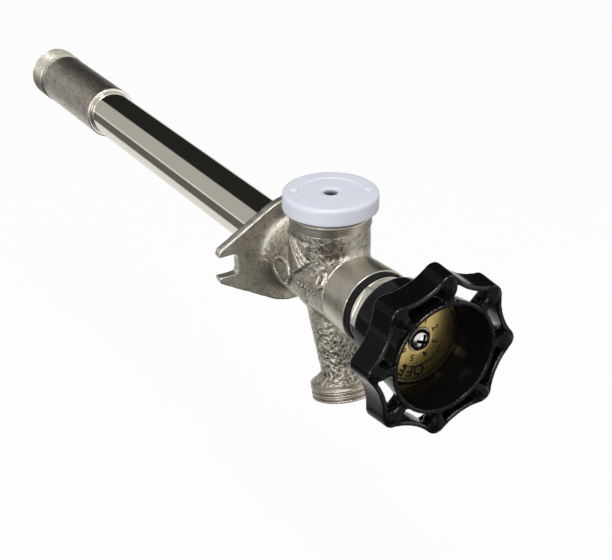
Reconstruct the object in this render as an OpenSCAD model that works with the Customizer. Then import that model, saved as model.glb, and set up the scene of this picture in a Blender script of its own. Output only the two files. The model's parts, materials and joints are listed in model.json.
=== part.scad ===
// Frost free sillcock: a garden tap whose seat sits at the warm end of a long tube.
// Origin: centre of the wall face of the flange, on the tube axis.
// +Y runs into the wall to the inlet, -Y runs out to the handle, +Z is up.

/* [Supply tube] */
// Distance from the wall face to the inlet end
wall_to_inlet = 254; // [200:1:360]
// Outside diameter of the supply tube
tube_od = 22.2; // [20.5:0.1:23]
// Wall of the supply tube
tube_wall = 1.1; // [0.7:0.1:1.5]
// Depth of the tube in the head casting
head_socket = 14; // [10:0.5:15]
// Depth of the tube in the inlet body
inlet_socket = 20; // [10:0.5:24]

/* [Inlet body] */
// Length of the inlet body
inlet_len = 75; // [68:1:90]
// Diameter of the cast sleeve
sleeve_d = 25.6; // [25:0.1:30]
// Outside diameter of the pipe thread
pipe_thread_d = 26.4; // [25.4:0.1:30]
// Length of the pipe thread
pipe_thread_len = 13; // [10:0.5:16]
// Width of the groove behind the pipe thread
relief_w = 1.8; // [1:0.1:3]
// Depth of the groove behind the pipe thread
relief_depth = 1.5; // [0.5:0.1:2]
// Bore of the solder socket, for half inch copper tube
sweat_d = 16; // [15.9:0.05:16.2]
// Depth of the solder socket
sweat_depth = 12.7; // [8:0.1:16]
// Bore through the valve seat
seat_d = 12; // [8:0.5:13]
// Diameter of the chamber that the seat washer works in
chamber_d = 19.2; // [18.8:0.1:20]
// Length of the chamber in front of the seat
chamber_len = 15; // [12:0.5:18]
// Height of the raised seat lip
seat_lip = 1.2; // [0.5:0.1:2]
// Width of the raised seat lip
seat_lip_w = 1.6; // [1:0.1:1.8]
// Edge break on the cast sleeve
sleeve_chamfer = 0.6; // [0.2:0.1:1]

/* [Wall flange] */
// Thickness of the wall flange
flange_t = 4; // [3:0.1:6]
// Radius of the round middle of the flange
flange_r = 23.4; // [21:0.1:28]
// Distance between the middles of the fork ends, left to right
fork_span = 66; // [60:0.5:80]
// Height of the middle of a fork end above the axis
fork_z = 5.9; // [5.5:0.1:8]
// Radius of a fork end
fork_r = 2; // [1:0.1:2.4]
// Width of the open screw slot
slot_w = 9; // [5:0.1:9.4]
// Distance from the axis to the bottom of the screw slot
slot_root = 26.5; // [24:0.1:28]
// Corner radius at the bottom of the screw slot
slot_corner = 1.8; // [0.5:0.1:2.4]
// Fillet between flange and barrel
flange_fillet = 4.8; // [2:0.1:6]

/* [Head casting] */
// Diameter of the barrel
barrel_d = 29.6; // [28:0.1:34]
// Distance from the wall face to the machined front boss
boss_start = 49; // [46:0.5:52]
// Distance from the wall face to the front of the boss
boss_front = 65; // [62:0.5:70]
// Diameter at the front of the boss
boss_d = 31.4; // [30:0.1:36]
// Distance from the wall face to the neck axis
neck_y = 31.6; // [30:0.1:33]
// Diameter of the neck
neck_d = 31.3; // [30:0.1:36]
// Height of the neck above the tube axis
neck_top = 28.7; // [27:0.1:34]
// Diameter of the collar at the top of the neck
collar_d = 32.5; // [31.4:0.1:37]
// Height of the collar at the top of the neck
collar_h = 5; // [3:0.1:8]
// Bore of the neck
neck_bore_d = 22.7; // [21:0.1:25]
// Height of the floor of the neck bore
neck_floor = 12.5; // [11:0.1:14]
// Bore between neck and waterway
neck_port_d = 14; // [8:0.1:16]

/* [Spout] */
// Angle of the spout forward of straight down
spout_tilt = 15; // [0:0.5:25]
// Distance from the wall face to the spout axis at the tube axis
spout_y = 29.4; // [26:0.1:32]
// Length of the spout from the tube axis to its lip
spout_len = 51; // [45:0.5:65]
// Diameter of the spout where it leaves the barrel
spout_root_d = 22.6; // [20:0.1:24]
// Diameter at the waist above the hose thread
spout_waist_d = 16.5; // [15.5:0.1:19]
// Outside diameter of the hose thread
hose_thread_d = 26.8; // [26:0.1:28]
// Length of the hose thread
hose_thread_len = 6.4; // [6:0.1:12]
// Height of the flare between waist and hose thread
flare_h = 3.8; // [2:0.1:6]
// Bore of the spout
spout_bore_d = 12.4; // [8:0.1:13]
// Bore at the lip of the spout
lip_bore_d = 19.2; // [14:0.1:21]
// Depth of the wide bore at the lip
lip_bore_h = 5; // [3:0.1:8]

/* [Bonnet and packing] */
// Diameter of the bonnet thread in the boss
bonnet_thread_d = 24; // [22:0.1:25]
// Length of the bonnet shank in the boss
bonnet_shank = 15; // [12:0.5:15.5]
// Thickness of the bonnet gasket
gasket_t = 1.5; // [0.5:0.1:2]
// Diameter of the round collar of the bonnet
bonnet_collar_d = 29.8; // [28:0.1:31]
// Length of the round collar
bonnet_collar_len = 1.8; // [1.5:0.1:3]
// Width across the flats of the bonnet hexagon
bonnet_hex = 25.4; // [24.6:0.1:26]
// Distance that the turned front of a hexagon lies inside its flats
hex_turn = 0.35; // [0.1:0.05:0.6]
// Length of the bonnet hexagon
bonnet_hex_len = 6.7; // [5:0.1:7]
// Diameter of the threaded nose of the bonnet
nose_d = 17.8; // [16.5:0.1:19]
// Length of the threaded nose
nose_len = 4.5; // [3:0.1:5]
// Thickness of the shoulder behind the packing
shoulder_t = 3.5; // [2:0.1:4]
// Diameter of the packing
packing_d = 14; // [12:0.1:14.5]
// Length of the packing
packing_len = 6.3; // [4:0.1:7]
// Depth of the gland of the packing nut in the nose
gland_len = 2.2; // [1:0.1:2.6]
// Thickness of the packing washer
packing_washer_t = 1.2; // [0.6:0.1:2]
// Width across the flats of the packing nut
nut_hex = 21; // [20.2:0.1:23]
// Thickness of the front wall of the packing nut
nut_wall = 3.2; // [2:0.1:3.6]

/* [Stem] */
// Diameter of the stem thread
stem_thread_d = 12; // [10.5:0.1:12.5]
// Length of the stem thread
stem_thread_len = 14; // [10:0.5:16]
// Length of that thread inside the bonnet when the tap is shut
thread_engaged = 8; // [6:0.5:8.5]
// Diameter of the stem in the packing
stem_d = 9; // [7.5:0.1:9.5]
// Width across the flats of the square under the handle
square_w = 6.3; // [5:0.1:6.6]
// Length of the square under the handle
square_len = 7.4; // [5:0.1:9]
// Diameter of the tail of the spindle
tail_d = 11.2; // [10.5:0.1:11.8]
// Length of the tail of the spindle
tail_len = 22; // [18:0.5:26]
// Diameter of the long rod
rod_d = 8; // [6:0.1:8.5]
// Depth of the rod in the spindle
rod_socket = 18; // [10:0.5:18]
// Diameter of the pin through spindle and rod
rod_pin_d = 2; // [1.5:0.1:3]
// Diameter of the journal that the washer holder swivels on
journal_d = 6; // [4:0.1:6.5]
// Length of that journal
journal_len = 7.6; // [5:0.1:9]
// Diameter of the stem guide in the tube
guide_d = 19.4; // [18:0.1:19.4]
// Length of the stem guide
guide_len = 12; // [6:0.5:20]
// Wall of the hub of the stem guide
guide_hub_w = 2; // [1.5:0.1:3]
// Thickness of a fin of the stem guide
guide_fin_t = 2; // [1:0.1:3]
// Number of fins of the stem guide
guide_fins = 6; // [4:2:8]
// Distance from the guide to the washer holder
guide_gap = 26; // [10:1:60]
// Lead of the stem thread
thread_lead = 3.175; // [2:0.005:5]
// Turns of the handle from closed to open
open_turns = 2.0833; // [1:0.0001:2.2]

/* [Seat washer] */
// Diameter of the seat washer
washer_d = 15.8; // [15:0.1:16]
// Thickness of the seat washer
washer_t = 4; // [3:0.1:6]
// Height of the seat washer above its cup
washer_proud = 1.5; // [0.5:0.1:2]
// Wall of the cup that holds the seat washer
cup_rim = 0.8; // [0.5:0.1:0.9]
// Thickness of the back of that cup
washer_cup_t = 2; // [1:0.1:3]
// Length of the washer holder behind the washer
holder_len = 12.7; // [11:0.1:16]
// Diameter of the neck of the washer holder
holder_d = 10; // [8.5:0.1:12]
// Number of guide wings on the washer holder
wings = 4; // [3:1:6]
// Thickness of a guide wing
holder_wing_t = 1.6; // [1:0.1:2.4]
// Distance that the wings stay behind the front end of the holder
wing_back = 1; // [0.5:0.1:2]
// Diameter of the head of the washer screw
washer_screw_head_d = 7.2; // [5:0.1:7.4]
// Height of the head of the washer screw
washer_screw_head_h = 1.8; // [1:0.1:2.5]
// Diameter of the washer screw
washer_screw_d = 3.8; // [2.5:0.1:4]
// Length of the washer screw in the holder
washer_screw_grip = 3.5; // [2:0.1:4]
// Depth of the recess for its head in the seat washer
washer_recess = 1; // [0.6:0.1:1.6]
// Width of the slot in its head
washer_slot_w = 1; // [0.6:0.1:1.4]
// Depth of the slot in its head
washer_slot_depth = 0.8; // [0.4:0.1:0.9]

/* [Vacuum breaker] */
// Diameter of the vent cap
cap_d = 37.6; // [34:0.1:42]
// Height of the rim of the vent cap
cap_h = 6.8; // [5:0.1:9]
// Air gap between the cap and the top of the neck
vent_gap = 0.8; // [0.5:0.1:1.5]
// Corner radius of the vent cap
cap_round = 1.6; // [0.5:0.1:2.4]
// Diameter of the shallow step in the top of the cap
step_d = 25.2; // [22:0.1:25.6]
// Depth of that step
step_depth = 0.3; // [0.2:0.05:0.5]
// Diameter of the shallow dish in the top of the cap
dish_d = 9; // [7:0.1:12]
// Diameter of the floor of that dish
dish_floor_d = 6; // [4.2:0.1:6.8]
// Depth of the shallow dish
dish_depth = 0.9; // [0.4:0.1:2]
// Diameter of the hole in the middle of the cap
cap_hole_d = 3.4; // [2:0.1:4]
// Thickness of the top of the cap
cap_top_t = 3.4; // [2.5:0.1:4.2]
// Wall of the skirt inside the neck
skirt_wall = 2.3; // [1.8:0.1:2.8]
// Turn of the cap about its axis
cap_turn = -31; // [-180:1:180]
// Distance of the two spanner dimples from the middle
dimple_r = 14; // [12:0.1:16]
// Diameter of a spanner dimple
dimple_d = 2; // [1:0.1:2.4]
// Thickness of the breaker insert
insert_t = 2.6; // [1.5:0.1:3]
// Bore of the breaker insert
insert_bore_d = 12; // [8:0.1:14]
// Height of the lip that the float rests on
insert_lip = 0.8; // [0.4:0.1:1.2]
// Width of that lip
insert_lip_w = 1.2; // [0.8:0.1:1.6]
// Diameter of the float
float_d = 17; // [15.5:0.1:17.4]
// Thickness of the float disc
float_t = 2.2; // [1.5:0.1:3]
// Thickness of the float seal
float_seal_t = 1.4; // [0.8:0.1:2]
// Rise of the float when water flows
float_lift = 2.5; // [1:0.1:3]
// Diameter of the guide pin of the float
float_pin_d = 3; // [2:0.1:3.4]
// Diameter of the core that carries the wings under the float
float_stem_d = 4.2; // [3.6:0.1:5]
// Thickness of a wing under the float
float_wing_t = 1.2; // [0.8:0.1:1.6]
// Opening in the bottom of the skirt
cap_port_d = 11; // [8:0.1:13]
// Thickness of the bottom of the skirt
cap_port_t = 1.2; // [0.8:0.1:2]
// Number of air windows in the skirt
windows = 4; // [2:1:6]
// Width of an air window
window_w = 5; // [3:0.1:7]
// Height of an air window
window_h = 3.4; // [2:0.1:3.8]
// Radius of the section of the cap O-ring
cap_ring_section = 0.62; // [0.5:0.01:0.7]
// Height of the cap O-ring above the bottom of the skirt
cap_ring_rise = 2; // [1.6:0.1:2.6]

/* [Handle] */
// Distance from the wall face to the front of the handle
handle_front = 109.5; // [106:0.1:116]
// Number of lobes
lobes = 8; // [6:1:10]
// Turn of the first lobe from straight up
lobe_phase = 3.5; // [0:0.1:45]
// Outside radius of the lobes at the back of the band
lobe_reach = 32.8; // [31:0.1:36]
// Radius of one lobe
lobe_r = 4.4; // [3.4:0.1:5]
// Outside radius of the band midway between lobes
band_waist = 28.6; // [27:0.1:29.6]
// Depth of the band
band_depth = 13.9; // [10:0.1:18]
// Wall of the band
band_wall = 2; // [1.2:0.1:2.4]
// Size of the front of the band as a share of its back
band_draft = 0.975; // [0.9:0.005:1]
// Outside diameter of the cup at its front rim
cup_front_d = 44.6; // [42:0.1:46]
// Outside diameter of the cup at its back
cup_back_d = 35; // [33:0.1:38]
// Depth of the cup with its skirt
cup_depth = 33.5; // [31:0.1:36]
// Wall of the cup
cup_wall = 1.8; // [1:0.1:2.2]
// Depth of the hollow in front of the label disc
cup_hollow = 16.5; // [12:0.1:20]
// Thickness of the cup floor
cup_floor = 2.4; // [1.5:0.1:3]
// Distance that the cup rim stays behind the front of the ribs
rim_back = 1; // [0:0.1:2]
// Diameter of the hub
hub_d = 15; // [12:0.1:18]
// Length of the hub behind the floor
hub_len = 4.6; // [3:0.1:5]
// Radius of a rib at the cup
rib_in_r = 1.7; // [1.2:0.1:2.4]
// Radius of a rib at the lobe
rib_out_r = 2.8; // [1.8:0.1:3]
// Depth of a rib
rib_depth = 9; // [6:0.1:12]
// Thickness of the web under a rib
rib_web = 2.6; // [1.6:0.1:3.2]
// Diameter of the label disc
label_d = 35; // [30:0.1:35.4]
// Thickness of the label disc
label_t = 0.5; // [0.3:0.1:1]
// Hole in the label disc
label_hole_d = 9.8; // [8:0.1:12]
// Diameter of the head of the handle screw
screw_head_d = 8.6; // [6:0.1:9.4]
// Height of the head of the handle screw
screw_head_h = 2.8; // [2:0.1:4]
// Diameter of the handle screw
screw_d = 4; // [3:0.1:4.4]
// Length of the handle screw under its head
screw_len = 10; // [6:0.5:12]
// Length of the cross recess in its head
cross_len = 5.8; // [4:0.1:6]
// Width of the cross recess
cross_w = 1; // [0.6:0.1:1.4]
// Depth of the cross recess
cross_depth = 1.6; // [1:0.1:2]
// Turn of the cross recess
cross_turn = 20; // [0:1:90]
// Thickness of the lock washer
lock_washer_t = 0.6; // [0.4:0.1:1]

/* [Fits] */
// Radial clearance between a fixed piece and its bore
seat_fit = 0.05; // [0.02:0.01:0.1]
// Radial clearance of the stem in packing and thread
running_fit = 0.06; // [0.02:0.01:0.1]
// Radial clearance of moving pieces that touch nothing
free_gap = 0.3; // [0.2:0.05:0.5]
// Gap between seat and seat washer, and under the float
face_gap = 0.1; // [0.05:0.01:0.2]

/* [Hidden] */
$fn = 96;
over = 1;
sliver = 0.1;

tube_r = tube_od / 2;
bore_r = tube_r - tube_wall;
sleeve_y = wall_to_inlet - inlet_len;
tube_end_y = sleeve_y + inlet_socket;
seat_wall_y = tube_end_y + chamber_len;
seat_y = seat_wall_y - seat_lip;
thread_y = wall_to_inlet - pipe_thread_len;
sweat_y = wall_to_inlet - sweat_depth;

washer_front = seat_y - face_gap;
washer_back = washer_front - washer_t;
holder_back = washer_back - holder_len;
rod_end = holder_back - free_gap;
journal_end = rod_end + journal_len;

boss_y = -boss_front;
bonnet_back = boss_y + bonnet_shank;
collar_y = boss_y - gasket_t;
hex_y = collar_y - bonnet_collar_len;
nose_y = hex_y - bonnet_hex_len;
nose_end = nose_y - nose_len;
packing_front = nose_end + gland_len;
packing_back = packing_front + packing_len;
shoulder_front = packing_back + packing_washer_t;
shoulder_back = shoulder_front + shoulder_t;
nut_back = nose_y - free_gap;
nut_front = nose_end - free_gap - nut_wall;
travel = thread_lead * open_turns;

cup_front_y = -handle_front + rim_back;
cup_back_y = cup_front_y + cup_depth;
label_front = cup_front_y + cup_hollow;
floor_front = label_front + label_t;
floor_back = floor_front + cup_floor;
hub_back = floor_back + hub_len;
band_back_y = -handle_front + band_depth;
square_front = floor_back;
square_back = square_front + square_len;
thread_front = bonnet_back - thread_engaged;
thread_back = thread_front + stem_thread_len;
tail_end = thread_back + tail_len;
rod_front = tail_end - rod_socket;
head_y = floor_front - lock_washer_t;

insert_top = neck_floor + insert_t;
lip_top = insert_top + insert_lip;
float_z = lip_top + face_gap;
float_top = float_z + float_t;
seal_top = float_top + float_seal_t;
port_z = seal_top + float_lift + face_gap;
cap_z = neck_top + vent_gap;
cap_top = cap_z + cap_h;
plate_z = cap_top - cap_top_t;
skirt_r = neck_bore_d / 2 - seat_fit;
cap_ring_z = port_z + cap_ring_rise;
cap_ring_r = skirt_r - cap_ring_section - seat_fit / 2;

// Turns the z axis onto +Y, so a profile of radius and y is revolved about the tube axis
module along_y() { rotate([-90, 0, 0]) children(); }

// Extrudes a drawing of x and z from y = start towards -Y
module toward_user(start, depth, shrink = 1) {
    translate([0, start, 0]) rotate([90, 0, 0])
        linear_extrude(height = depth, scale = shrink) children();
}

module disc_y(y0, y1, r) {
    translate([0, min(y0, y1), 0]) rotate([-90, 0, 0]) cylinder(h = abs(y1 - y0), r = r);
}

module cone_y(y0, y1, r0, r1) {
    translate([0, y0, 0]) rotate([y1 > y0 ? -90 : 90, 0, 0])
        cylinder(h = abs(y1 - y0), r1 = r0, r2 = r1);
}

module ring_y(y0, y1, r_out, r_in) {
    difference() {
        disc_y(y0, y1, r_out);
        disc_y(min(y0, y1) - over, max(y0, y1) + over, r_in);
    }
}

module hex_y(y0, y1, flats) {
    translate([0, min(y0, y1), 0]) rotate([-90, 30, 0])
        cylinder(h = abs(y1 - y0), d = flats / cos(30), $fn = 6);
}

// A hexagon whose corners are turned off at its front end, y0
module turned_hex_y(y0, y1, flats) {
    beyond = flats / cos(30) / 2 + over;
    end_r = flats / 2 - hex_turn;
    turn = (beyond - end_r) * tan(30);
    intersection() {
        hex_y(y0, y1, flats);
        union() {
            disc_y(y0 + turn, y1 + over, beyond);
            cone_y(y0 + turn, y0, beyond, end_r);
        }
    }
}

module o_ring_z(z, r, section) {
    translate([0, 0, z]) rotate_extrude() translate([r, 0]) circle(r = section, $fn = 32);
}

module at_neck() { translate([0, -neck_y, 0]) children(); }

// The spout frame: z runs down the spout axis, away from the barrel
module along_spout() {
    translate([0, -spout_y, 0]) rotate([180 - spout_tilt, 0, 0]) children();
}

// Straight edge that touches two circles on their outer side
module tangent_strip(c1, r1, c2, r2) {
    d = norm(c2 - c1);
    base = atan2(c2[1] - c1[1], c2[0] - c1[0]);
    swing = acos((r1 - r2) / d);
    n = base - swing;
    polygon([c1, c1 + r1 * [cos(n), sin(n)], c2 + r2 * [cos(n), sin(n)], c2]);
}

module flange_outline() {
    fork_x = fork_span / 2;
    circle(r = flange_r);
    for (sx = [0, 1]) mirror([sx, 0]) {
        for (sz = [0, 1]) mirror([0, sz]) {
            translate([fork_x, -fork_z]) circle(r = fork_r);
            tangent_strip([0, 0], flange_r, [fork_x, -fork_z], fork_r);
        }
        polygon([[0, -fork_z], [fork_x, -fork_z], [fork_x, fork_z], [0, fork_z]]);
        translate([fork_x, -fork_z]) square([fork_r, 2 * fork_z]);
    }
}

module slot_outline() {
    reach = fork_span / 2 + fork_r + over;
    hull_x = slot_root + slot_corner;
    translate([hull_x, -slot_w / 2]) square([reach - hull_x, slot_w]);
    translate([slot_root, -slot_w / 2 + slot_corner])
        square([slot_corner + over, slot_w - 2 * slot_corner]);
    for (s = [-1, 1])
        translate([hull_x, s * (slot_w / 2 - slot_corner)]) circle(r = slot_corner, $fn = 48);
}

module wall_flange() {
    toward_user(0, flange_t) difference() {
        flange_outline();
        for (sx = [0, 1]) mirror([sx, 0]) slot_outline();
    }
    difference() {
        disc_y(-flange_t, -flange_t - flange_fillet, barrel_d / 2 + flange_fillet);
        along_y() translate([0, 0, -flange_t - flange_fillet]) rotate_extrude()
            translate([barrel_d / 2 + flange_fillet, 0]) circle(r = flange_fillet, $fn = 64);
    }
}

module barrel() {
    disc_y(0, -boss_start, barrel_d / 2);
    cone_y(-boss_start, boss_y + sleeve_chamfer, barrel_d / 2, boss_d / 2);
    cone_y(boss_y + sleeve_chamfer, boss_y, boss_d / 2, boss_d / 2 - sleeve_chamfer);
}

module neck() {
    at_neck() {
        sphere(d = neck_d);
        cylinder(h = neck_top - sleeve_chamfer, d = neck_d);
        translate([0, 0, neck_top - collar_h])
            cylinder(h = collar_h - sleeve_chamfer, d = collar_d);
        translate([0, 0, neck_top - sleeve_chamfer])
            cylinder(h = sleeve_chamfer, d1 = collar_d, d2 = collar_d - 2 * sleeve_chamfer);
    }
}

module spout() {
    thread_top = spout_len - hose_thread_len;
    waist_z = thread_top - flare_h;
    along_spout() {
        cylinder(h = waist_z, d1 = spout_root_d, d2 = spout_waist_d);
        translate([0, 0, waist_z])
            cylinder(h = flare_h, d1 = spout_waist_d, d2 = hose_thread_d - 2 * sleeve_chamfer);
        translate([0, 0, thread_top]) cylinder(h = hose_thread_len, d = hose_thread_d);
    }
}

module head_body() {
    color([0.66, 0.63, 0.56]) difference() {
        union() {
            wall_flange();
            barrel();
            neck();
            spout();
        }
        disc_y(over, -head_socket, tube_r + seat_fit);
        disc_y(-head_socket + over, bonnet_back - over, bore_r);
        disc_y(bonnet_back + seat_fit, boss_y - over, bonnet_thread_d / 2 + seat_fit);
        at_neck() {
            cylinder(h = neck_floor + over, d = neck_port_d);
            translate([0, 0, neck_floor]) cylinder(h = neck_top, d = neck_bore_d);
        }
        along_spout() {
            cylinder(h = spout_len + over, d = spout_bore_d);
            translate([0, 0, spout_len - lip_bore_h]) cylinder(h = lip_bore_h + over, d = lip_bore_d);
        }
    }
}

module supply_tube() {
    color([0.78, 0.77, 0.74]) ring_y(-head_socket, tube_end_y, tube_r, bore_r);
}

module inlet_body() {
    color([0.66, 0.63, 0.56]) difference() {
        union() {
            cone_y(sleeve_y + sleeve_chamfer, sleeve_y, sleeve_d / 2, sleeve_d / 2 - sleeve_chamfer);
            disc_y(sleeve_y + sleeve_chamfer, thread_y - relief_w, sleeve_d / 2);
            disc_y(sleeve_y + over, wall_to_inlet - over, sleeve_d / 2 - relief_depth);
            disc_y(thread_y, wall_to_inlet, pipe_thread_d / 2);
        }
        disc_y(sleeve_y - over, tube_end_y, tube_r + seat_fit);
        difference() {
            disc_y(tube_end_y - over, seat_wall_y, chamber_d / 2);
            disc_y(seat_y, seat_wall_y + over, seat_d / 2 + seat_lip_w);
        }
        disc_y(tube_end_y, sweat_y + over, seat_d / 2);
        disc_y(sweat_y, wall_to_inlet + over, sweat_d / 2);
    }
}

module bonnet() {
    color([0.74, 0.73, 0.7]) difference() {
        union() {
            disc_y(bonnet_back, collar_y - over, bonnet_thread_d / 2);
            disc_y(collar_y, hex_y, bonnet_collar_d / 2);
            turned_hex_y(nose_y, hex_y + over, bonnet_hex);
            disc_y(nose_y + over, nose_end, nose_d / 2);
        }
        disc_y(bonnet_back + over, shoulder_back, stem_thread_d / 2);
        disc_y(shoulder_back + over, nose_end - over, stem_d / 2 + free_gap);
        disc_y(shoulder_front, nose_end - over, packing_d / 2);
    }
}

module bonnet_gasket() {
    color([0.1, 0.1, 0.1])
        ring_y(boss_y, collar_y, bonnet_collar_d / 2 - sleeve_chamfer / 2, bonnet_thread_d / 2 + seat_fit);
}

module packing_washer() {
    color([0.78, 0.62, 0.3])
        ring_y(packing_back, shoulder_front, packing_d / 2 - seat_fit, stem_d / 2 + free_gap);
}

module packing() {
    color([0.16, 0.16, 0.17])
        ring_y(packing_front, packing_back, packing_d / 2 - seat_fit, stem_d / 2 + running_fit);
}

module packing_nut() {
    color([0.72, 0.6, 0.34]) difference() {
        union() {
            difference() {
                turned_hex_y(nut_front, nut_back, nut_hex);
                disc_y(nut_back + over, nut_front + nut_wall, nose_d / 2 + seat_fit);
            }
            disc_y(nut_front + over, packing_front, packing_d / 2 - seat_fit);
        }
        disc_y(nut_back + over, nut_front - over, stem_d / 2 + free_gap);
    }
}

module breaker_insert() {
    color([0.92, 0.92, 0.9]) at_neck() difference() {
        union() {
            translate([0, 0, neck_floor]) cylinder(h = insert_t, r = skirt_r);
            translate([0, 0, insert_top]) cylinder(h = insert_lip, d = insert_bore_d + 2 * insert_lip_w);
        }
        translate([0, 0, neck_floor - over]) cylinder(h = insert_t + insert_lip + 2 * over, d = insert_bore_d);
    }
}

module breaker_float() {
    tail_h = float_z - neck_floor;
    pin_h = plate_z - float_z - over - float_lift - face_gap;
    color([0.9, 0.9, 0.88]) at_neck() {
        translate([0, 0, float_z]) cylinder(h = float_t, d = float_d);
        translate([0, 0, float_z + over]) cylinder(h = pin_h, d = float_pin_d);
        translate([0, 0, neck_floor]) cylinder(h = tail_h + over, d = float_stem_d);
        for (a = [0 : 90 : 270]) rotate([0, 0, a]) translate([0, -float_wing_t / 2, neck_floor])
            cube([insert_bore_d / 2 - free_gap, float_wing_t, tail_h + over]);
    }
}

module float_seal() {
    color([0.1, 0.1, 0.1]) at_neck() translate([0, 0, float_top]) difference() {
        cylinder(h = float_seal_t, d = float_d);
        translate([0, 0, -over]) cylinder(h = float_seal_t + 2 * over, d = float_pin_d + 2 * seat_fit);
    }
}

module cap_o_ring() {
    color([0.08, 0.08, 0.08]) at_neck() o_ring_z(cap_ring_z, cap_ring_r, cap_ring_section);
}

module vent_cap() {
    skirt_in = skirt_r - skirt_wall;
    dish_flare = (dish_d - dish_floor_d) / dish_depth * over;
    color([0.94, 0.95, 0.97]) at_neck() rotate([0, 0, cap_turn]) difference() {
        union() {
            translate([0, 0, cap_z]) cylinder(h = cap_h - cap_round, d = cap_d);
            translate([0, 0, cap_z]) cylinder(h = cap_h, d = cap_d - 2 * cap_round);
            o_ring_z(cap_top - cap_round, cap_d / 2 - cap_round, cap_round);
            translate([0, 0, port_z]) cylinder(h = cap_z - port_z + over, r = skirt_r);
        }
        translate([0, 0, port_z + cap_port_t]) cylinder(h = plate_z - port_z - cap_port_t, r = skirt_in);
        translate([0, 0, port_z - over]) cylinder(h = cap_port_t + 2 * over, d = cap_port_d);
        translate([0, 0, cap_top - step_depth]) cylinder(h = step_depth + over, d = step_d);
        translate([0, 0, cap_top - dish_depth])
            cylinder(h = dish_depth + over, d1 = dish_floor_d, d2 = dish_d + dish_flare);
        translate([0, 0, plate_z - over]) cylinder(h = cap_top_t + 2 * over, d = cap_hole_d);
        for (s = [-1, 1]) translate([s * dimple_r, 0, cap_top - dish_depth])
            cylinder(h = dish_depth + over, d = dimple_d);
        for (i = [0 : windows - 1]) rotate([0, 0, i * 360 / windows])
            translate([skirt_in - over, -window_w / 2, cap_z - window_h])
                cube([skirt_wall + 2 * over, window_w, window_h]);
        difference() {
            translate([0, 0, cap_ring_z - cap_ring_section])
                cylinder(h = 2 * cap_ring_section, r = skirt_r + over);
            translate([0, 0, cap_ring_z - 2 * cap_ring_section])
                cylinder(h = 4 * cap_ring_section, r = cap_ring_r - cap_ring_section);
        }
    }
}

module spindle() {
    color([0.78, 0.62, 0.3]) difference() {
        union() {
            disc_y(thread_back, tail_end, tail_d / 2);
            disc_y(thread_front, thread_back + over, stem_thread_d / 2 - running_fit);
            disc_y(thread_front + over, square_back, stem_d / 2);
            translate([-square_w / 2, square_front, -square_w / 2])
                cube([square_w, square_len + over, square_w]);
        }
        disc_y(tail_end + over, rod_front, rod_d / 2 + seat_fit);
        disc_y(square_front - over, square_front + screw_len, screw_d / 2 + seat_fit);
        translate([-tail_d, (tail_end + rod_front) / 2, 0]) rotate([0, 90, 0])
            cylinder(h = 2 * tail_d, d = rod_pin_d + 2 * seat_fit, $fn = 48);
    }
}

module stem_rod() {
    color([0.8, 0.52, 0.36]) difference() {
        union() {
            disc_y(rod_front, rod_end, rod_d / 2);
            disc_y(rod_end - over, journal_end, journal_d / 2);
        }
        translate([-tail_d, (tail_end + rod_front) / 2, 0]) rotate([0, 90, 0])
            cylinder(h = 2 * tail_d, d = rod_pin_d + 2 * seat_fit, $fn = 48);
    }
}

module rod_pin() {
    color([0.6, 0.6, 0.6]) translate([-tail_d / 2, (tail_end + rod_front) / 2, 0])
        rotate([0, 90, 0]) cylinder(h = tail_d, d = rod_pin_d, $fn = 48);
}

module stem_guide() {
    guide_y = rod_end - guide_gap;
    color([0.9, 0.9, 0.86]) difference() {
        union() {
            disc_y(guide_y - guide_len, guide_y, rod_d / 2 + guide_hub_w);
            intersection() {
                disc_y(guide_y - guide_len, guide_y, guide_d / 2);
                for (i = [0 : guide_fins / 2 - 1]) rotate([0, i * 360 / guide_fins, 0])
                    translate([-guide_d, guide_y - guide_len, -guide_fin_t / 2])
                        cube([2 * guide_d, guide_len, guide_fin_t]);
            }
        }
        disc_y(guide_y - guide_len - over, guide_y + over, rod_d / 2 + seat_fit);
    }
}

module washer_holder() {
    cup_r = washer_d / 2 + seat_fit + cup_rim;
    color([0.78, 0.62, 0.3]) difference() {
        union() {
            disc_y(holder_back, washer_back, holder_d / 2);
            disc_y(washer_back - washer_cup_t, washer_front - washer_proud, cup_r);
            intersection() {
                disc_y(holder_back + wing_back, washer_back, chamber_d / 2 - free_gap);
                for (i = [0 : wings - 1]) rotate([0, (i + 0.5) * 360 / wings, 0])
                    translate([0, holder_back, -holder_wing_t / 2])
                        cube([chamber_d, holder_len, holder_wing_t]);
            }
        }
        disc_y(washer_back, washer_front, washer_d / 2 + seat_fit);
        disc_y(holder_back - over, journal_end + free_gap, journal_d / 2 + running_fit);
        disc_y(journal_end - over, washer_back + over, washer_screw_d / 2 + seat_fit);
    }
}

module seat_washer() {
    color([0.1, 0.1, 0.1]) difference() {
        ring_y(washer_back, washer_front, washer_d / 2, washer_screw_d / 2 + seat_fit);
        disc_y(washer_front - washer_recess, washer_front + over, washer_screw_head_d / 2 + seat_fit);
    }
}

module washer_screw() {
    head_back = washer_front - washer_recess;
    head_end = head_back + washer_screw_head_h;
    color([0.8, 0.66, 0.36]) difference() {
        union() {
            disc_y(head_back, head_end, washer_screw_head_d / 2);
            disc_y(washer_back - washer_screw_grip, head_back + sliver, washer_screw_d / 2);
        }
        translate([-washer_screw_head_d, head_end - washer_slot_depth, -washer_slot_w / 2])
            cube([2 * washer_screw_head_d, washer_slot_depth + over, washer_slot_w]);
    }
}

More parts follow.
